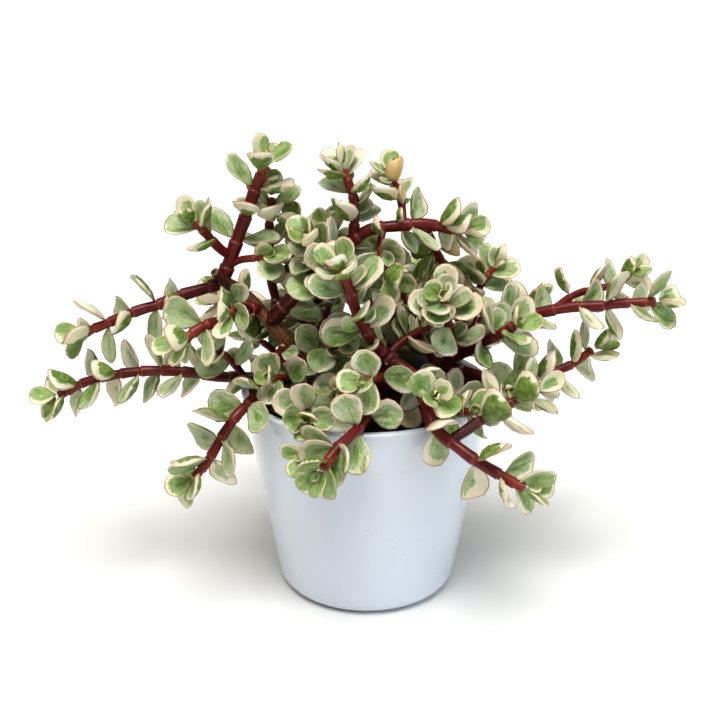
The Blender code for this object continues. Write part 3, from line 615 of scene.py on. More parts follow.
# %% Stem tables
# Each row holds a name, then the leaf pairs, their first roll, size and gap, then the
# radii, then the points of the route. A line that ends with a comma or a semicolon goes
# on in the next.
WOOD_ROWS = """
trunk; 0 0 1 15; 7.4 6.7 6.2 4.1 3.7; -26 6 92, -27 5 109, -29 4 120, -36 0 135, -47 -4 156,
-55 -5 166, -66 -4 179, -75 0 186, -84 3 190
right_limb; 0 0 1 15; 4.8 3.8; 31 9 92, 32 8 106, 34 6 119, 42 -2 141, 50 -7 147, 58 -12 153
front_limb; 0 0 1 15; 4.7 3.7; 3 -4 92, 4 -10 105, 6 -22 124, 8 -36 147, 10 -46 163
back_limb; 0 0 1 15; 4.8 3.7; -4 22 92, -5 26 108, -6 31 125, -4 40 140, 0 52 150
"""
SHOOT_ROWS = """
left_tower; 7 80 1 16; 4.4 3.4; -84 3 191, -78 5 206, -74 6 217, -70 7 227, -64 8 243, -60 8 252,
-58 8 257
left_high_reach; 7 5 0.95 15; 3.8 2.7; -86 2 189, -96 0 186, -108 -2 183, -121 -4 178,
-130 -6 176, -144 -8 171, -151 -9 168, -159 -10 165, -163 -11 163
arch; 8 40 0.95 15; 4.5 3; -57 -6 168, -40 -11 188, -26 -13 205, -9 -15 219, 2 -16 226,
16 -16 228, 30 -15 229, 44 -13 226, 53 -11 224
left_upright; 4 5 0.9 16; 3.1 2.6; -54 -5 167, -54 10 176, -56 14 184, -57 16 195, -57 17 210,
-57 18 223, -55 18 236
mid_upright; 6 165 0.95 12; 3.5 2.7; -36 0 140, -33 8 149, -34 14 159, -35 18 172, -38 20 186,
-41 20 197, -42 18 206, -43 16 217
left_mid; 4 55 1 17; 3.6 2.8; -63 -5 176, -73 -16 178, -82 -26 176, -92 -34 175, -99 -38 171,
-102 -40 169
left_fall; 7 170 1 12; 3.6 2.6; -46 -4 153, -51 -14 151, -57 -24 144, -61 -33 138, -66 -42 133,
-73 -50 128, -80 -54 119, -85 -57 111, -90 -59 103, -97 -61 95
left_low_reach; 9 160 0.95 12; 3.9 2.6; -36 0 135, -52 0 132, -65 -5 133, -86 -6 134, -98 -6 136,
-114 -7 138, -127 -9 139, -141 -10 138, -153 -11 136, -165 -12 133, -175 -13 128, -181 -14 125
front_riser; 5 95 1 13; 3.9 2.9; 10 -46 163, 4 -50 170, -1 -54 180, -6 -57 191, -9 -60 202,
-12 -62 211, -14 -63 217
front_cascade; 8 105 0.95 15; 4.2 2.8; 10 -46 162, 17 -53 159, 26 -60 153, 31 -66 144, 34 -74 135,
39 -81 130, 47 -87 126, 57 -92 120, 71 -97 113, 79 -99 109, 83 -100 108
front_fall; 5 95 1 17; 3.6 2.8; 6 -20 123, 5 -38 128, -3 -68 131, -6 -77 131, -14 -87 127,
-20 -93 122, -24 -97 117
right_reach; 8 95 0.95 14; 3.9 2.6; 57 -12 153, 73 -4 162, 90 -5 171, 107 -8 176, 121 -10 179,
134 -12 180, 145 -14 182, 164 -17 184
right_riser; 4 135 0.85 17; 3 2.3; 54 -8 149, 57 -2 157, 62 3 167, 66 9 184, 70 12 190, 75 14 195
right_rosette; 5 90 0.95 17; 3.2 2.3; 49 -7 147, 47 -25 167, 43 -42 186, 40 -55 198
tower_side; 3 50 0.95 12; 3 2.4; -79 5 205, -84 0 210, -91 -5 220, -97 -8 228
arch_left_riser; 4 50 0.9 16; 3.2 2.5; -8 -15 220, -7 -12 234, -8 -10 243, -11 -9 252, -14 -8 258
arch_right_riser; 3 130 0.85 12; 2.4 1.9; 20 -16 228, 19 -11 239, 17 -8 246, 13 -6 254
arch_fall; 4 120 0.9 12; 3.1 2.3; 31 -15 228, 35 -8 220, 39 0 210, 44 8 200, 52 12 193
arch_under; 3 140 0.95 12; 2.3 1.9; 9 -16 227, 7 -23 219, 8 -30 212, 12 -34 205
mid_side; 4 100 0.9 12; 2.5 1.9; -38 20 186, -29 10 200, -21 2 210, -22 -2 221
centre_left; 3 120 1 12; 2.5 2; -29 -12 202, -25 -25 203, -22 -38 208
left_twig; 3 130 0.9 12; 2.4 1.9; -72 -5 133, -78 -12 145, -82 -16 151, -86 -20 156
cascade_side; 5 40 1 12; 3.3 2.6; 44 -84 128, 52 -79 131, 60 -73 134, 68 -67 136, 76 -62 139,
84 -58 142, 92 -54 144
front_rosette; 3 125 0.95 12; 2.5 2.1; 32 -68 142, 34 -75 147, 35 -82 152
front_fall_side; 3 25 0.85 12; 2.2 1.8; -8 -79 130, -18 -84 124, -28 -86 121, -32 -87 120
left_rosette; 4 175 0.95 17; 2.9 2.1; -29 2 122, -33 -35 129, -34 -58 133, -33 -74 136
centre_front; 3 100 1 12; 2.6 2.1; 7 -30 136, 9 -46 148, 6 -60 155, -1 -70 157
centre_twig; 3 110 1 13; 2.5 1.9; 10 -43 160, 18 -37 166, 28 -34 172, 35 -33 175
centre_low; 4 135 1 13; 2.7 2; -36 -1 139, -27 -16 152, -19 -28 161, -15 -34 168
right_mid; 5 45 1 12; 3.9 2.8; 57 -12 152, 67 -24 163, 76 -33 171, 81 -38 177
right_reach_side; 5 120 0.85 12; 2.5 1.9; 108 -8 177, 121 2 182, 133 7 184, 143 8 186, 153 8 192
right_low_reach; 6 30 1 12; 3.6 2.4; 41 -2 140, 60 -4 136, 78 -11 133, 96 -10 135, 108 -9 138,
119 -8 142, 127 -6 147, 132 -5 151
right_inner; 5 135 0.95 14; 2.8 2.1; 7 -32 141, 30 -42 135, 47 -58 134, 55 -66 137
back_left; 5 130 1 15; 3.2 2.1; -46 -3 155, -58 22 158, -72 45 160, -86 64 158, -96 78 152
back_centre; 4 135 1 15; 3.4 2.1; -1 50 150, 4 75 158, 8 95 160, 10 112 156
back_left_low; 5 135 1 15; 3.1 2.1; -5 38 138, -25 58 147, -45 78 147, -58 94 141, -66 106 131
back_right_low; 5 135 1 15; 3.1 2.1; -1 48 148, 22 64 152, 42 82 152, 58 96 146, 68 106 136
back_fall; 4 135 1 15; 3 2.1; -5 36 134, 8 70 138, 16 90 128, 20 102 110, 22 106 92
back_right; 5 135 1 15; 3 2.1; 50 -6 146, 60 16 152, 74 36 158, 90 52 160, 104 64 158
back_riser; 4 130 1 14; 2.9 2.1; -36 1 136, -28 26 150, -22 42 168, -18 52 184
back_right_riser; 3 130 1 14; 2.8 2; 40 0 137, 38 22 150, 34 40 164, 30 48 178
arch_twig; 3 150 0.95 12; 2.3 1.9; -22 -13 208, -26 -24 215, -31 -30 223
trunk_twig; 3 120 1 12; 2.4 1.9; -54 -4 164, -48 8 172, -42 14 182
left_mid_upper; 2 0 1 12; 2.6 2.1; -68 -10 177, -70 -19 182, -73 -28 184, -76 -36 184
tower_foot; 2 90 1 12; 2.3 1.9; -80 4 199, -74 2 203, -66 -1 205, -59 -3 206
left_rim_twig; 4 120 1 12; 2.5 1.9; -38 -1 138, -44 -20 140, -54 -36 145
right_rim_twig; 4 130 1 13; 2.6 2; 35 5 121, 52 -18 128, 66 -34 134, 76 -42 140
centre_rear_riser; 4 120 1 13; 2.7 2; 41 -1 139, 30 0 160, 22 -4 180, 16 -6 196
mid_twig; 4 130 1 13; 2.5 2; -35 18 172, -20 14 180, -10 10 190, -2 8 200
back_twig_left; 4 40 1 13; 2.6 2; -6 30 121, -20 36 136, -34 44 146, -43 50 152
back_twig_right; 4 40 1 13; 2.6 2; -6 31 124, 6 26 136, 16 24 144, 26 24 150
low_left_fill; 2 130 1 13; 2.7 2; -46 28 100, -49 29 120, -57 33 135, -69 38 143
low_right_fill; 2 135 1 13; 2.7 2; 46 30 100, 48 32 120, 56 37 134, 67 43 142
low_front_fill; 3 135 1 13; 2.5 1.9; -6 -34 100, -10 -38 118, -14 -44 130, -16 -50 138
"""


def number_rows(text):
    """Tuples of the numbers between the commas of a text."""
    return [tuple(map(float, part.split())) for part in text.split(",")]


def clamp(value):
    """A value kept between nought and one."""
    return min(1.0, max(0.0, value))


def read_stems(rows):
    """The stems of a table."""
    stems = []
    for row in rows.strip().replace(",\n", ", ").replace(";\n", "; ").splitlines():
        name, growth, radii, route = row.split("; ")
        pairs, *growth = number_rows(growth)[0]
        stems.append(Stem(name, number_rows(route), number_rows(radii)[0], int(pairs), *growth))
    return stems


WOOD = read_stems(WOOD_ROWS)
SHOOTS = read_stems(SHOOT_ROWS)
STUB = Stem("stub", [(-80, 2, 188), (-88, -4, 198)], (3.3, 3.0))

print("stems:", len(WOOD), "woody and", len(SHOOTS), "leafy")
print("length of all leafy stems: %.2f m" % (sum(s.total for s in SHOOTS) * MM))

# %% [markdown]
# ## Where the leaves stand
#
# Leaves come in pairs, and each pair is turned a quarter from the one below. The solid
# model holds 440 leaves, each turned a little until it stands clear of every other
# leaf and stem. Repeating the same rule with the same seed finds the same places. The
# test shapes here are only for measuring and are never shown.

# %% Leaf rule
SEED = 20

# The air left between one solid and the next.
NODE_GAP = 0.3
RING_SPACING = 20.0

# Leaves: obovate, thick, on a very short stalk.
LEAF_LENGTH = 19.8
LEAF_WIDTH = 17.3
STALK_LENGTH = 1.0
BACK_RISE = 2.3
CUP = 0.8
OUTLINE = ((0.20, 0.60), (0.58, 1.0), (0.94, 0.56))
THICKEST = 0.42
ROOT_DEPTH = 0.7
LEAF_MIDDLE = 0.6
TEST_REACH = 50.0

# From the tip down: distance of each leaf pair, its size and its angle to the stem.
TIP_PAIRS = ((0.6, 0.6, 30.0), (6.0, 0.84, 52.0), (15.5, 0.97, 63.0))
OLD_PAIR = len(TIP_PAIRS)
OLD_PAIR_SIZE = 1.0
OLD_PAIR_ANGLE = 68.0

# No leaf stands nearer than this to the base of its stem.
BARE_BASE = 8.0

# How far the leaves' upper sides turn from the stem's tip toward the light.
# The light comes from above, from the room's side and from around the plant.
LIGHT_SHARE = 0.48
LIGHT_ABOVE = 0.6
LIGHT_FRONT = 0.5
LIGHT_AROUND = 0.35

# Largest random change of a leaf's angle, place round the stem, twist and size.
SWAY_ANGLE = 7.0
SWAY_ROLL = 12.0
SWAY_TWIST = 18.0
SWAY_SIZE = 0.1

# Small turns tried in order when a leaf would touch its neighbour, each with its mirror
# image: change of twist, of angle to the stem, of place round the stem, and of size.
TRIES = []
for turn, lean, shift, scale in number_rows("""
0 0 0 1, 22 0 0 1, 0 -14 0 1, 0 12 0 1, 0 0 16 1, 40 0 0 0.95, 20 -14 14 0.92,
20 14 -14 0.92, 0 -26 24 0.88, 0 22 26 0.88, 45 -18 0 0.8, 0 -30 0 0.78, 70 0 12 0.8,
25 20 32 0.72, 0 -34 36 0.7, 0 0 0 0.66, 35 -20 20 0.62
"""):
    TRIES.append((turn, lean, shift, scale))
    if turn or shift:
        TRIES.append((-turn, lean, -shift, scale))


def tube(stem):
    """Points and faces of a stem's tube, made wider and longer by the air round it."""
    sides = stem.sides
    count = max(2, math.ceil(stem.total / RING_SPACING))
    verts = []
    faces = []
    for k in range(count + 1):
        point, direction, radius = stem.at(stem.total * k / count)
        if k in (0, count):
            point = point + direction * (NODE_GAP if k else -NODE_GAP)
        ring = radius + NODE_GAP / math.cos(math.pi / sides)
        for j in range(sides):
            verts.append(point + stem.outward(direction, math.tau * j / sides) * ring)
            a, b = k * sides + j, k * sides + (j + 1) % sides
            if k < count:
                faces.append((a, b, b + sides, a + sides))
    faces.append(tuple(reversed(range(sides))))
    faces.append(tuple(range(count * sides, (count + 1) * sides)))
    return verts, faces


def leaf(point, along, normal, radius, length, width, swell=0.0, rooted=True):
    """Points and faces of one leaf, which starts inside the stem if it is rooted.

    With swell the leaf is that much larger all round.
    """
    across = normal.cross(along)
    start = radius + STALK_LENGTH
    half = width / 2

    def place(x, y, z):
        return point + along * x + across * y + normal * z

    left, right = [[place(start + (length + swell) * share, side * (half * spread + swell),
                          CUP * spread ** 2) for share, spread in OUTLINE] for side in (-1, 1)]
    ring = [place(-radius * ROOT_DEPTH if rooted else radius, 0, 0), *left, *right[::-1]]
    count = len(ring)
    verts = [p + normal * swell for p in ring]
    verts.append(place(start + length * THICKEST, 0, -BACK_RISE - swell))
    # A swollen leaf has a rim as high as its swelling; a real one ends in a fine edge.
    lower = 0
    if swell:
        lower = len(verts)
        verts += [p - normal * swell for p in ring]
    faces = [(0, 1, 6), (1, 2, 5, 6), (2, 3, 4, 5)]
    for i in range(count):
        j = (i + 1) % count
        faces.append((lower + j, lower + i, count))
        if swell:
            faces.append((i, j, lower + j, lower + i))
    return verts, faces


def leaf_plan(stem):
    """Distance from the base, size, angle to the stem and roll of each leaf of a stem."""
    plan = []
    for k in range(stem.pairs):
        if k < OLD_PAIR:
            back, size, angle = TIP_PAIRS[k]
        else:
            back = TIP_PAIRS[-1][0] + stem.gap * (k - OLD_PAIR + 1)
            size, angle = OLD_PAIR_SIZE, OLD_PAIR_ANGLE
        if stem.total - back < BARE_BASE:
            break
        for side in (0, 180):
            plan.append((stem.total - back, size * stem.size, angle, stem.roll + 90 * k + side))
    return plan


def leaf_pose(stem, distance, angle, roll, twist):
    """Where a leaf stands: its root, its direction, its upper side's normal, the stem's radius."""
    point, direction, radius = stem.at(distance)
    outward = stem.outward(direction, math.radians(roll))
    lean = math.radians(angle)
    along = (direction * math.cos(lean) + outward * math.sin(lean)).normalized()
    away = Vector((point.x, point.y, 0.0))
    light = UP * LIGHT_ABOVE + FRONT * LIGHT_FRONT
    if away.length > 1.0:
        light += away.normalized() * LIGHT_AROUND
    normal = direction * (1.0 - LIGHT_SHARE) + light.normalized() * LIGHT_SHARE
    normal = (normal - along * normal.dot(along)).normalized()
    normal = Matrix.Rotation(math.radians(twist), 3, along) @ normal
    return point, along, normal, radius


def tree(verts, faces):
    """A search tree of a solid's faces."""
    return BVHTree.FromPolygons([tuple(v) for v in verts], faces)


class Crown:
    """Every stem's and leaf's test shape, to find where a leaf stands clear."""

    def __init__(self, stems, fixed):
        self.tubes = {stem.name: tree(*tube(stem)) for stem in stems}
        self.fixed = fixed
        self.grown = []
        self.leaves = {stem.name: [] for stem in stems}

    def settle(self, pair, stem, distance, angle, roll, twist, length, width):
        """Adds a leaf at the first small change at which it stands clear, if there is one."""
        others = [t for name, t in self.tubes.items() if name != stem.name] + self.fixed
        for turn, lean, shift, scale in TRIES:
            pose = leaf_pose(stem, distance, angle + lean, roll + shift, turn + twist)
            long, wide = length * scale, width * scale
            middle = pose[0] + pose[1] * (long * LEAF_MIDDLE)
            whole, blade = [tree(*leaf(*pose, long, wide, NODE_GAP, rooted))
                            for rooted in (True, False)]
            if any(whole.overlap(other) for other in others):
                continue
            near = [old for old in self.grown if (old[1] - middle).length < TEST_REACH]
            if any(blade.overlap(old[3]) if old[0] is stem else whole.overlap(old[2])
                   for old in near):
                continue
            self.grown.append((stem, middle, *(tree(*leaf(*pose, long, wide, 0.0, rooted))
                                               for rooted in (True, False))))
            self.leaves[stem.name].append((pose, long, wide, pair))
            return


def solid_tree(name):
    """A search tree of one of the loaded solids, in millimetres."""
    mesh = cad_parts[name].data
    return tree([v.co / MM for v in mesh.vertices], [tuple(p.vertices) for p in mesh.polygons])


# %% Leaves of the solid model
crown = Crown(WOOD + SHOOTS, [solid_tree("pot"), solid_tree("soil")])
sway_draw = random.Random(SEED)
for stem in SHOOTS:
    for k, (distance, size, angle, roll) in enumerate(leaf_plan(stem)):
        sway = [sway_draw.uniform(-1, 1) for _ in range(5)]
        crown.settle(k // 2, stem, distance, angle + SWAY_ANGLE * sway[0],
                     roll + SWAY_ROLL * sway[1], SWAY_TWIST * sway[2],
                     LEAF_LENGTH * size * (1 + SWAY_SIZE * sway[3]),
                     LEAF_WIDTH * size * (1 + SWAY_SIZE * sway[4]))
print("leaves of the solid model:", len(crown.grown))

# If the rule had drifted, a leaf's tip would lie away from the solid that holds it.
drift = 0.0
for name, rows in crown.leaves.items():
    solid = solid_tree(name)
    for pose, length, width, _ in rows:
        drift = max(drift, solid.find_nearest(leaf(*pose, length, width)[0][3])[3])
print("farthest leaf tip from its solid: %.3f mm" % drift)

# %% [markdown]
# ## More leaves
#
# A real bush is denser than a solid model can be. Smaller leaves stand in the angle
# between an old leaf and its stem, and a few pairs hold on near the base. They are
# placed by the same test, so each test shape stands in free air and the crown keeps
# its form.

# %% Side leaves
SIDE_SEED = 31
SIDE_SIZES = (0.8, 0.6)
SIDE_SHARE = 0.28

# Stems that stay free of them, and the part of the crown where they may stand.
CLEAN_STEMS = ("left_tower", "left_upright")
INNER_REACH = 75.0
SOIL_VIEW_EDGE = -15.0
SOIL_VIEW_TOP = 158.0

# Along the stem: above a pair, half way to the next, and at even gaps below the last.
SIDE_STEP = 4.5
AXIL_RISE = SIDE_STEP * 0.6
SIDE_SHIFT = 45.0
LOW_START = 9.0
LOW_GAP = 10.0
BASE_KEEP = 6.0

# What is drawn for each: its share of the size, its angle, its turn and its twist.
SIDE_SCALES = (0.85, 1.05)
SIDE_ANGLES = (38.0, 66.0)
SIDE_ROLLS = (-14.0, 14.0)
SIDE_TWISTS = (-22.0, 22.0)


def side_places(stem):
    """Distance and roll of possible side leaves, from the tip down."""
    places = []
    plan = leaf_plan(stem)
    pairs = [row[0] for row in plan[::2]]
    rolls = [row[3] for row in plan[::2]]
    for k, distance in enumerate(pairs):
        below = pairs[k + 1] if k + 1 < len(pairs) else max(BASE_KEEP, distance - 2 * SIDE_STEP)
        for side in (0, 180):
            if k:
                places.append((distance + AXIL_RISE, rolls[k] + side))
            places.append(((distance + below) / 2, rolls[k] + SIDE_SHIFT + side))
    low = min(pairs) - LOW_START
    turn = rolls[-1]
    while low > BASE_KEEP:
        turn += 90
        places += [(low, turn), (low, turn + 180)]
        low -= LOW_GAP
    return places


def grow_side_leaves():
    """Adds side leaves of falling size wherever one stands clear."""
    draw = random.Random(SIDE_SEED)
    for size in SIDE_SIZES:
        for stem in SHOOTS:
            for distance, roll in side_places(stem):
                spot = stem.at(distance)[0]
                inside = math.hypot(spot.x, spot.y) < INNER_REACH
                over_soil = spot.y < SOIL_VIEW_EDGE and spot.z < SOIL_VIEW_TOP
                bare = over_soil or stem.name in CLEAN_STEMS
                chance = SIDE_SHARE if inside and not bare else 0.0
                if draw.random() > chance:
                    continue
                scale = size * stem.size * draw.uniform(*SIDE_SCALES)
                crown.settle(OLD_PAIR, stem, distance, draw.uniform(*SIDE_ANGLES),
                             roll + draw.uniform(*SIDE_ROLLS), draw.uniform(*SIDE_TWISTS),
                             LEAF_LENGTH * scale, LEAF_WIDTH * scale)


grow_side_leaves()
print("leaves with the side leaves:", len(crown.grown))

# %% [markdown]
# ## Soil and crumbs
#
# The soil shows through the stems as a dark, uneven ground a finger's width under the
# rim. A spun disc gives its body, noise lifts its top, and a few hundred small crumbs
# with twenty faces each give it a broken outline.

# %% Soil
SOIL_SEED = 5
SOIL_HEIGHT = 115.0
SOIL_LIFT = 0.4
SOIL_RING_GAP = 3.0
SOIL_STEPS = 72
SOIL_CLEARANCE = 0.45
SOIL_BOTTOM = FLOOR_THICKNESS + 0.3
SOIL_CORNER = (6.0, 12.0)

# Broad mounds and small ones: how close together and how high.
MOUNDS = ((0.035, 2.2), (0.16, 0.9))

# Crumbs: their number, radii, share of larger ones and by how much, flattened shapes.
CRUMBS = 420
CRUMB_RADII = (0.5, 1.7)
LARGE_CRUMBS = 0.08
LARGE_CRUMB = 1.5
CRUMB_SHAPES = ((0.7, 1.3), (0.7, 1.2), (0.5, 0.9))
soil_reach = wall_radius(SOIL_HEIGHT, WALL) - SOIL_CLEARANCE


def soil_level(x, y):
    """Height of the soil's top at a place."""
    spot = Vector((x, y, 0.0))
    mound = sum(noise.noise(spot * scale) * rise for scale, rise in MOUNDS)
    edge = max(0.0, 1.0 - math.hypot(x, y) / soil_reach)
    return SOIL_HEIGHT + mound * min(1.0, edge * 8) + SOIL_LIFT


def make_soil():
    """The ground in the pot, with loose crumbs on it."""
    draw = random.Random(SOIL_SEED)
    floor_reach = wall_radius(FLOOR_BEND, WALL) - SOIL_CLEARANCE
    section = [(0.0, SOIL_BOTTOM), (floor_reach - SOIL_CORNER[0], SOIL_BOTTOM),
               (floor_reach, SOIL_CORNER[1]), (soil_reach, SOIL_HEIGHT - 1.0)]
    rings = int(soil_reach / SOIL_RING_GAP)
    section += [(soil_reach * (rings - i) / rings, SOIL_HEIGHT) for i in range(1, rings + 1)]
    bm = spin_section(section, SOIL_STEPS)
    for vert in bm.verts:
        if vert.co.z > (SOIL_HEIGHT - 0.5) * MM:
            vert.co.z = soil_level(vert.co.x / MM, vert.co.y / MM) * MM
    for _ in range(CRUMBS):
        reach = soil_reach * math.sqrt(draw.random()) * 0.97
        turn = draw.uniform(0, math.tau)
        x, y = reach * math.cos(turn), reach * math.sin(turn)
        size = draw.uniform(*CRUMB_RADII) * (LARGE_CRUMB if draw.random() < LARGE_CRUMBS else 1.0)
        size = min(size, (soil_reach - reach) * 0.5 + 0.4)
        shape = Matrix.Diagonal((*(draw.uniform(*limits) for limits in CRUMB_SHAPES), 1.0))
        place = Matrix.Translation(Vector((x, y, soil_level(x, y) + size * 0.15)) * MM)
        spin = Matrix.Rotation(draw.uniform(0, math.pi), 4, "Z")
        bmesh.ops.create_icosphere(bm, subdivisions=1, radius=size * MM,
                                   matrix=place @ spin @ shape)
    return bm


finish_piece("soil_ground", make_soil(), earth, "soil", smooth=False)
print("soil:", MADE[-1])

# %% [markdown]
# ## Lofting a stem
#
# A stem is a ring that is pulled along its route. One circle is created, and each next
# ring is an extrusion of the last one's edges, moved to its place. Every point keeps its
# number round the ring, its straightened place for the grain, its age and whether it is
# at a joint.

# %% Loft
STEM_LAYERS = ("age", "joint", "cut", "scar", "young")


def stem_layers(bm):
    """The values that every point of a stem carries."""
    layers = {name: bm.verts.layers.float.new(name) for name in STEM_LAYERS}
    layers["grain"] = bm.verts.layers.float_vector.new("grain")
    layers["turn"] = bm.verts.layers.int.new("turn")
    return layers


def loft(bm, layers, stem, distances, sides, radius_at, values_at):
    """Pulls a ring along the stem through the given distances and closes both ends."""
    ring = bmesh.ops.create_circle(bm, cap_ends=True, segments=sides, radius=1.0)["verts"]
    for j, vert in enumerate(ring):
        vert[layers["turn"]] = j
    edges = list({edge for vert in ring for edge in vert.link_edges})
    for k, distance in enumerate(distances):
        if k:
            made = bmesh.ops.extrude_edge_only(bm, edges=edges)["geom"]
            ring = [item for item in made if isinstance(item, bmesh.types.BMVert)]
            edges = [item for item in made if isinstance(item, bmesh.types.BMEdge)
                     and all(vert in ring for vert in item.verts)]
        point, direction, _ = stem.at(distance)
        for vert in ring:
            turn = math.tau * vert[layers["turn"]] / sides
            reach = radius_at(distance, turn)
            vert.co = (point + stem.outward(direction, turn) * reach) * MM
            vert[layers["grain"]] = Vector((math.cos(turn) * reach, math.sin(turn) * reach,
                                            distance)) * MM
            for name, value in values_at(distance).items():
                vert[layers[name]] = value
    bmesh.ops.contextual_create(bm, geom=edges)
    return ring


# %% [markdown]
# ## The woody limbs
#
# Four old limbs of brown wood carry the bush. They swell at the foot, taper upwards and
# are never quite round, so their radius is pushed in and out by noise that is stretched
# along them. The trunk still has the stub of a limb that was cut off, with a pale end.

# %% Woody limbs
WOOD_RING_GAP = 1.6
WOOD_FINE_SIDES = 22
WOOD_FULLNESS = 0.95
WOOD_SEED_STEP = 3.7
FOOT_SWELL = 0.22
SWELL_PLACE = 26.0
SWELL_SPREAD = 9.0

# Broad and small dents: how close together round the limb and along it, and how deep.
DENTS = ((1.3, 0.045, 0.10), (4.2, 0.16, 0.07))

# The wood turns red toward its tip: its share of the length times this, less that.
RED_RISE = 4.0
RED_START = 2.7

STUB_SIDES = 18
STUB_RINGS = (0.0, 3.0, 6.0, 9.0)
STUB_CUT = 1.2
STUB_SEED = 9.1
STUB_RED = 0.9
STUB_NARROWING = 0.9


def wood_radius(stem, seed, flare):
    """A radius that changes round and along the limb."""
    def reach(distance, turn):
        base = stem.at(distance)[2] * WOOD_FULLNESS
        size = 1.0
        for across, along, depth in DENTS:
            size += depth * noise.noise(Vector((math.cos(turn) * across + seed,
                                                math.sin(turn) * across, distance * along)))
        swell = flare * math.exp(-((distance - SWELL_PLACE) / SWELL_SPREAD) ** 2)
        return base * (size + swell)
    return reach


def make_limb(stem, seed):
    """One woody limb; the trunk gets its cut stub too."""
    bm = bmesh.new()
    layers = stem_layers(bm)
    count = math.ceil(stem.total / WOOD_RING_GAP)
    distances = [stem.total * k / count for k in range(count + 1)]
    loft(bm, layers, stem, distances, WOOD_FINE_SIDES, wood_radius(stem, seed, FOOT_SWELL),
         lambda distance: {"young": clamp(distance / stem.total * RED_RISE - RED_START)})
    if stem.name == "trunk":
        ends = [*STUB_RINGS, STUB.total - STUB_CUT, STUB.total]
        ring = loft(bm, layers, STUB, ends, STUB_SIDES, wood_radius(STUB, STUB_SEED, 0.0),
                    lambda distance: {"cut": 1.0 if distance == STUB.total else 0.0,
                                      "young": STUB_RED})
        middle = sum((vert.co for vert in ring), Vector()) / len(ring)
        for vert in ring:
            vert.co = middle + (vert.co - middle) * STUB_NARROWING
    bmesh.ops.recalc_face_normals(bm, faces=bm.faces)
    return bm


for number, stem in enumerate(WOOD):
    finish_piece(stem.name + "_wood", make_limb(stem, WOOD_SEED_STEP * number), bark, stem.name)
    print(MADE[-1])

# %% [markdown]
# ## Joints and scars
#
# The red stems are built of short lengths between joints. Each length widens toward its
# outer end like a cuff, and the next one comes out of that cuff a size smaller, with a
# paler line round the edge. Where old leaves have dropped, two small corky scars are left
# on the joint. Two of the stems are older than their length says, so they get more of the
# old end's dark colour, which is partly painted shade.

# %% Red stems
STEM_FINE_SIDES = 12
STEM_FULLNESS = 0.98
LONGEST_RING_GAP = 4.0
SHORTEST_RING_GAP = 0.1
JOINT_RINGS = (-1.5, -0.5, -0.01, 0.45, 1.2)
JOINT_SPREAD = 0.6
OLD_JOINT_GAP = 16.0
LOWEST_JOINT = 4.0

# How much a length widens toward its outer end, on what curve, and how thin it starts.
CUFF_FLARE = 0.20
CUFF_POWER = 1.5
CUFF_START = 0.42
OVAL = 0.03
TIP_CLOSING = 0.6
TIP_LENGTH = 0.3

# A stem is old this far from its tip; two are older than that says.
OLD_DISTANCE = 110.0
# These two get more of the old end's dark colour, which is partly painted shade.
AGED = {"cascade_side": 0.8, "right_mid": 0.35}

SCAR_SEED = 77
SCAR_SIZE = 1.15
SCAR_SIZES = (0.8, 1.2)
SCAR_SWAY = (-15.0, 15.0)
SCAR_DEPTH = 0.97
SCAR_SHAPE = (1.2, 1.0, 0.5)


def joints_of(stem):
    """Distances of the joints that carry leaves, and of the bare ones below them."""
    leafy = sorted({row[0] for row in leaf_plan(stem)})
    bare = []
    low = leafy[0] - OLD_JOINT_GAP
    while low > LOWEST_JOINT:
        bare.append(low)
        low -= OLD_JOINT_GAP
    return leafy, sorted(bare)


def ring_places(stem, joints):
    """Distances of the rings: close together at joints, wide between them."""
    places = {0.0, stem.total, stem.total - 0.5}
    for joint in joints:
        for offset in JOINT_RINGS:
            places.add(joint + offset)
    places = sorted(p for p in places if 0 <= p <= stem.total)
    filled = [places[0]]
    for place in places[1:]:
        start = filled[-1]
        gap = place - start
        if gap < SHORTEST_RING_GAP:
            continue
        steps = math.ceil(gap / LONGEST_RING_GAP)
        filled += [start + gap * i / steps for i in range(1, steps + 1)]
    return filled


def make_stem(stem, draw):
    """A red stem with its joints, its scars and a rounded tip."""
    bm = bmesh.new()
    layers = stem_layers(bm)
    leafy, bare = joints_of(stem)
    joints = bare + leafy

    def nearest(distance):
        return min(abs(distance - joint) for joint in joints)

    def reach(distance, turn):
        radius = stem.at(distance)[2] * STEM_FULLNESS
        below = max([j for j in joints if j <= distance], default=joints[0] - OLD_JOINT_GAP)
        above = min([j for j in joints if j > distance], default=below + OLD_JOINT_GAP)
        share = clamp((distance - below) / max(above - below, 1.0))
        size = 1 + CUFF_FLARE * (share ** CUFF_POWER - CUFF_START)
        if distance > stem.total - TIP_LENGTH:
            size *= TIP_CLOSING
        return radius * size * (1 + OVAL * math.cos(2 * turn))

    def values(distance):
        age = (stem.total - distance) / OLD_DISTANCE + AGED.get(stem.name, 0.0)
        return {"age": min(1.0, age),
                "joint": math.exp(-(nearest(distance) / JOINT_SPREAD) ** 2)}

    loft(bm, layers, stem, ring_places(stem, joints), STEM_FINE_SIDES, reach, values)
    for k, joint in enumerate(bare):
        for side in (0, 180):
            turn = math.radians(stem.roll + 90 * k + side + draw.uniform(*SCAR_SWAY))
            point, direction, radius = stem.at(joint)
            outward = stem.outward(direction, turn)
            spot = point + outward * radius * STEM_FULLNESS * SCAR_DEPTH
            turned = outward.to_track_quat("Z", "Y").to_matrix().to_4x4()
            size = SCAR_SIZE * draw.uniform(*SCAR_SIZES)
            flat = Matrix.Diagonal((*(size * share for share in SCAR_SHAPE), 1.0))
            made = bmesh.ops.create_uvsphere(bm, u_segments=8, v_segments=4, radius=MM,
                                             matrix=Matrix.Translation(spot * MM) @ turned @ flat)
            for vert in made["verts"]:
                vert[layers["scar"]] = 1.0
                vert[layers["grain"]] = vert.co
    bmesh.ops.recalc_face_normals(bm, faces=bm.faces)
    return bm


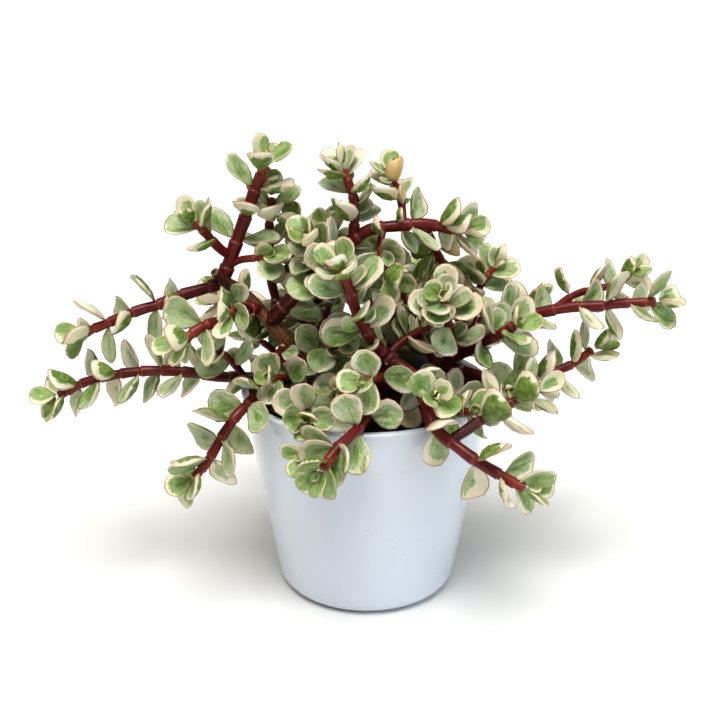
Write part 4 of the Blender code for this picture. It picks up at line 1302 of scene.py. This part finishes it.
scar_draw = random.Random(SCAR_SEED)
for stem in SHOOTS:
    finish_piece(stem.name + "_stem", make_stem(stem, scar_draw), red, stem.name)
print("triangles in the red stems:", triangles("_stem"))

# %% [markdown]
# ## One leaf
#
# A leaf is a sphere of a few dozen faces, pressed into a thick blade. Seen from above
# its outline is a drop: pointed at the stalk and round at the tip. Its upper side is
# hollowed a little and folded along the middle, its underside is full, and its tip
# curls up or down. The numbers for the finish are written at the same time. A fine leaf
# is larger than its test shape, so in the thick of the crown many press into a neighbour.

# %% Leaf shape
LEAF_ROUND_SEGMENTS = 14
LEAF_RINGS = 6
DROP_POWER = 0.72
DROP_WIDEST = 0.818
FINE_THICKNESS = 2.6
UPPER_FULLNESS = 0.32

# Small leaves are thinner, and every leaf is thin near its stalk: the least share, and
# how fast it grows.
SMALL_THINNESS = (0.45, 0.55)
STALK_THINNESS = (0.35, 3.0)
SUNK_STALK = 0.72
SINKING = 0.25
MAP_SCALE = 0.1

# By pair, from the tip down: how much larger than the solid's leaf, and how young.
PAIR_GROWTH = (1.24, 1.14, 1.08, 1.06)
TIP_YOUTH = (1.0, 0.62, 0.28)
OLD_YOUTH = (0.0, 0.18)

# The width of the green heart: most leaves, few creamy ones, some in between.
HEART = (0.85, 1.01)
CREAMY_CHANCE, CREAMY = 0.16, (0.30, 0.62)
PALER_CHANCE, PALER = 0.40, (0.62, 0.82)
SKEW = (-0.25, 0.25)
LOPSIDED_CHANCE, LOPSIDED = 0.30, (0.35, 0.9)

# What else is drawn for each leaf, in this order.
DRAWN = {"blush": (0.4, 0.95), "cup": (0.4, 1.8), "fold": (0.04, 0.42), "curl": (-1.8, 1.6),
         "twist": (-0.14, 0.14), "wave": (-0.8, 0.8), "crimp": (0.0, 0.5),
         "phase": (0.0, math.tau)}
MAP_SHIFT = (0.0, 90.0)
LEAF_LAYERS = ("reach", "margin", "side", "tone", "youth", "cream", "blush", "root", "dry")


def leaf_layers(bm):
    """The values that every point of a leaf carries, and its own flat map."""
    layers = {name: bm.verts.layers.float.new(name) for name in LEAF_LAYERS}
    layers["blade"] = bm.loops.layers.uv.new("blade")
    return layers


def leaf_look(draw, pair, dry=0.0):
    """Random numbers that make one leaf look unlike the next."""
    cream = draw.uniform(*HEART)
    chance = draw.random()
    if chance < CREAMY_CHANCE:
        cream = draw.uniform(*CREAMY)
    elif chance < PALER_CHANCE:
        cream = draw.uniform(*PALER)
    skew = draw.uniform(*SKEW)
    if draw.random() < LOPSIDED_CHANCE:
        skew = draw.choice((-1, 1)) * draw.uniform(*LOPSIDED)
    look = {"cream": cream, "skew": skew, "tone": draw.random(), "dry": dry,
            "growth": PAIR_GROWTH[min(pair, OLD_PAIR)],
            "youth": TIP_YOUTH[pair] if pair < OLD_PAIR else draw.uniform(*OLD_YOUTH)}
    for name, limits in DRAWN.items():
        look[name] = draw.uniform(*limits)
    look["shift"] = Vector((draw.uniform(*MAP_SHIFT), draw.uniform(*MAP_SHIFT)))
    return look


def add_leaf(bm, layers, pose, length, width, look):
    """Presses one sphere into a leaf and puts it in its place."""
    point, along, normal, radius = pose
    across = normal.cross(along)
    start = radius * SUNK_STALK
    reach = radius + STALK_LENGTH + length * look["growth"] - start
    half = width * look["growth"] / 2
    thick = FINE_THICKNESS * min(1.0, SMALL_THINNESS[0]
                                 + SMALL_THINNESS[1] * length / LEAF_LENGTH)
    made = bmesh.ops.create_uvsphere(bm, u_segments=LEAF_ROUND_SEGMENTS,
                                     v_segments=LEAF_RINGS, radius=1.0)
    flat = {}
    for vert in made["verts"]:
        x, y, z = vert.co
        share = min(1.0, math.hypot(x, y))
        turn = math.atan2(y, -x) if share > 1e-4 else math.pi / 2
        drop = math.sin(abs(turn) / 2) ** DROP_POWER / DROP_WIDEST
        wide = share * math.sin(turn)
        far = 0.5 - share * math.cos(turn) / 2
        upper = 1.0 if z > 1e-4 else (-1.0 if z < -1e-4 else 0.0)
        body = max(0.0, 1 - share ** 2)
        narrow = min(1.0, STALK_THINNESS[0] + far * STALK_THINNESS[1])
        lift = look["cup"] * share ** 2 + look["fold"] * abs(wide) * drop * half
        lift += look["curl"] * far ** 2 * length / LEAF_LENGTH
        lift += look["twist"] * wide * half
        lift += look["wave"] * math.sin(3 * turn + look["phase"]) * share ** 2
        lift += look["crimp"] * math.sin(5 * turn + 2 * look["phase"]) * share ** 3
        if upper > 0:
            lift += UPPER_FULLNESS * body ** 0.5 * narrow
        elif upper < 0:
            lift -= thick * body ** 0.6 * narrow
        vert.co = (point + along * (start + reach * far) + across * (wide * drop * half)
                   + normal * (lift - SINKING)) * MM
        vert[layers["reach"]] = share
        toward_stalk = max(0.0, math.cos(turn)) * share
        vert[layers["margin"]] = share * (1 + look["skew"] * math.sin(turn)) - 0.2 * toward_stalk
        vert[layers["side"]] = upper
        vert[layers["root"]] = max(0.0, 1 - far * 7.0)
        for name in ("tone", "youth", "cream", "blush", "dry"):
            vert[layers[name]] = look[name]
        flat[vert] = Vector((wide * half * MAP_SCALE, far * reach * MAP_SCALE)) + look["shift"]
    faces = {face for vert in made["verts"] for face in vert.link_faces}
    for face in faces:
        for loop in face.loops:
            loop[layers["blade"]].uv = flat[loop.vert]
    if across.cross(along).dot(normal) > 0:
        bmesh.ops.reverse_faces(bm, faces=list(faces))


# %% [markdown]
# ## All the leaves
#
# Each leafy stem gets one piece with all its leaves, so that a stem and its leaves can be
# hidden or painted together. At the very tip two tiny leaves still clasp each other.

# %% Leaves of every stem
TIP_SIZE = 0.22
TIP_ANGLE = 16.0
TIP_BACK = 0.2

# Leaves that wither, by their number on the stem, and how far they have gone.
YELLOWED = {"arch_right_riser": {3: 0.85, 8: 0.5}, "arch_fall": {9: 0.6},
            "right_inner": {7: 0.4}}
LEAF_SEED = 404
leaf_draw = random.Random(LEAF_SEED)


def make_leaves(stem):
    """All the leaves of one stem and the bud at its tip."""
    bm = bmesh.new()
    layers = leaf_layers(bm)
    yellowed = YELLOWED.get(stem.name, {})
    for k, (pose, length, width, pair) in enumerate(crown.leaves[stem.name]):
        look = leaf_look(leaf_draw, pair, yellowed.get(k, 0.0))
        add_leaf(bm, layers, pose, length, width, look)
    for side in (0, 180):
        pose = leaf_pose(stem, stem.total - TIP_BACK, TIP_ANGLE, stem.roll + 90 + side, 0)
        add_leaf(bm, layers, pose, LEAF_LENGTH * TIP_SIZE, LEAF_WIDTH * TIP_SIZE,
                 leaf_look(leaf_draw, 0))
    return bm


for stem in SHOOTS:
    finish_piece(stem.name + "_leaves", make_leaves(stem), skin, stem.name)
print("leaves in all:", len(crown.grown) + 2 * len(SHOOTS))
print("triangles in the leaves:", triangles("_leaves"))

# %% [markdown]
# ## Triangles in all
#
# The triangles of all the pieces are added up and printed.

# %% Triangles in all
print("triangles in all:", triangles())
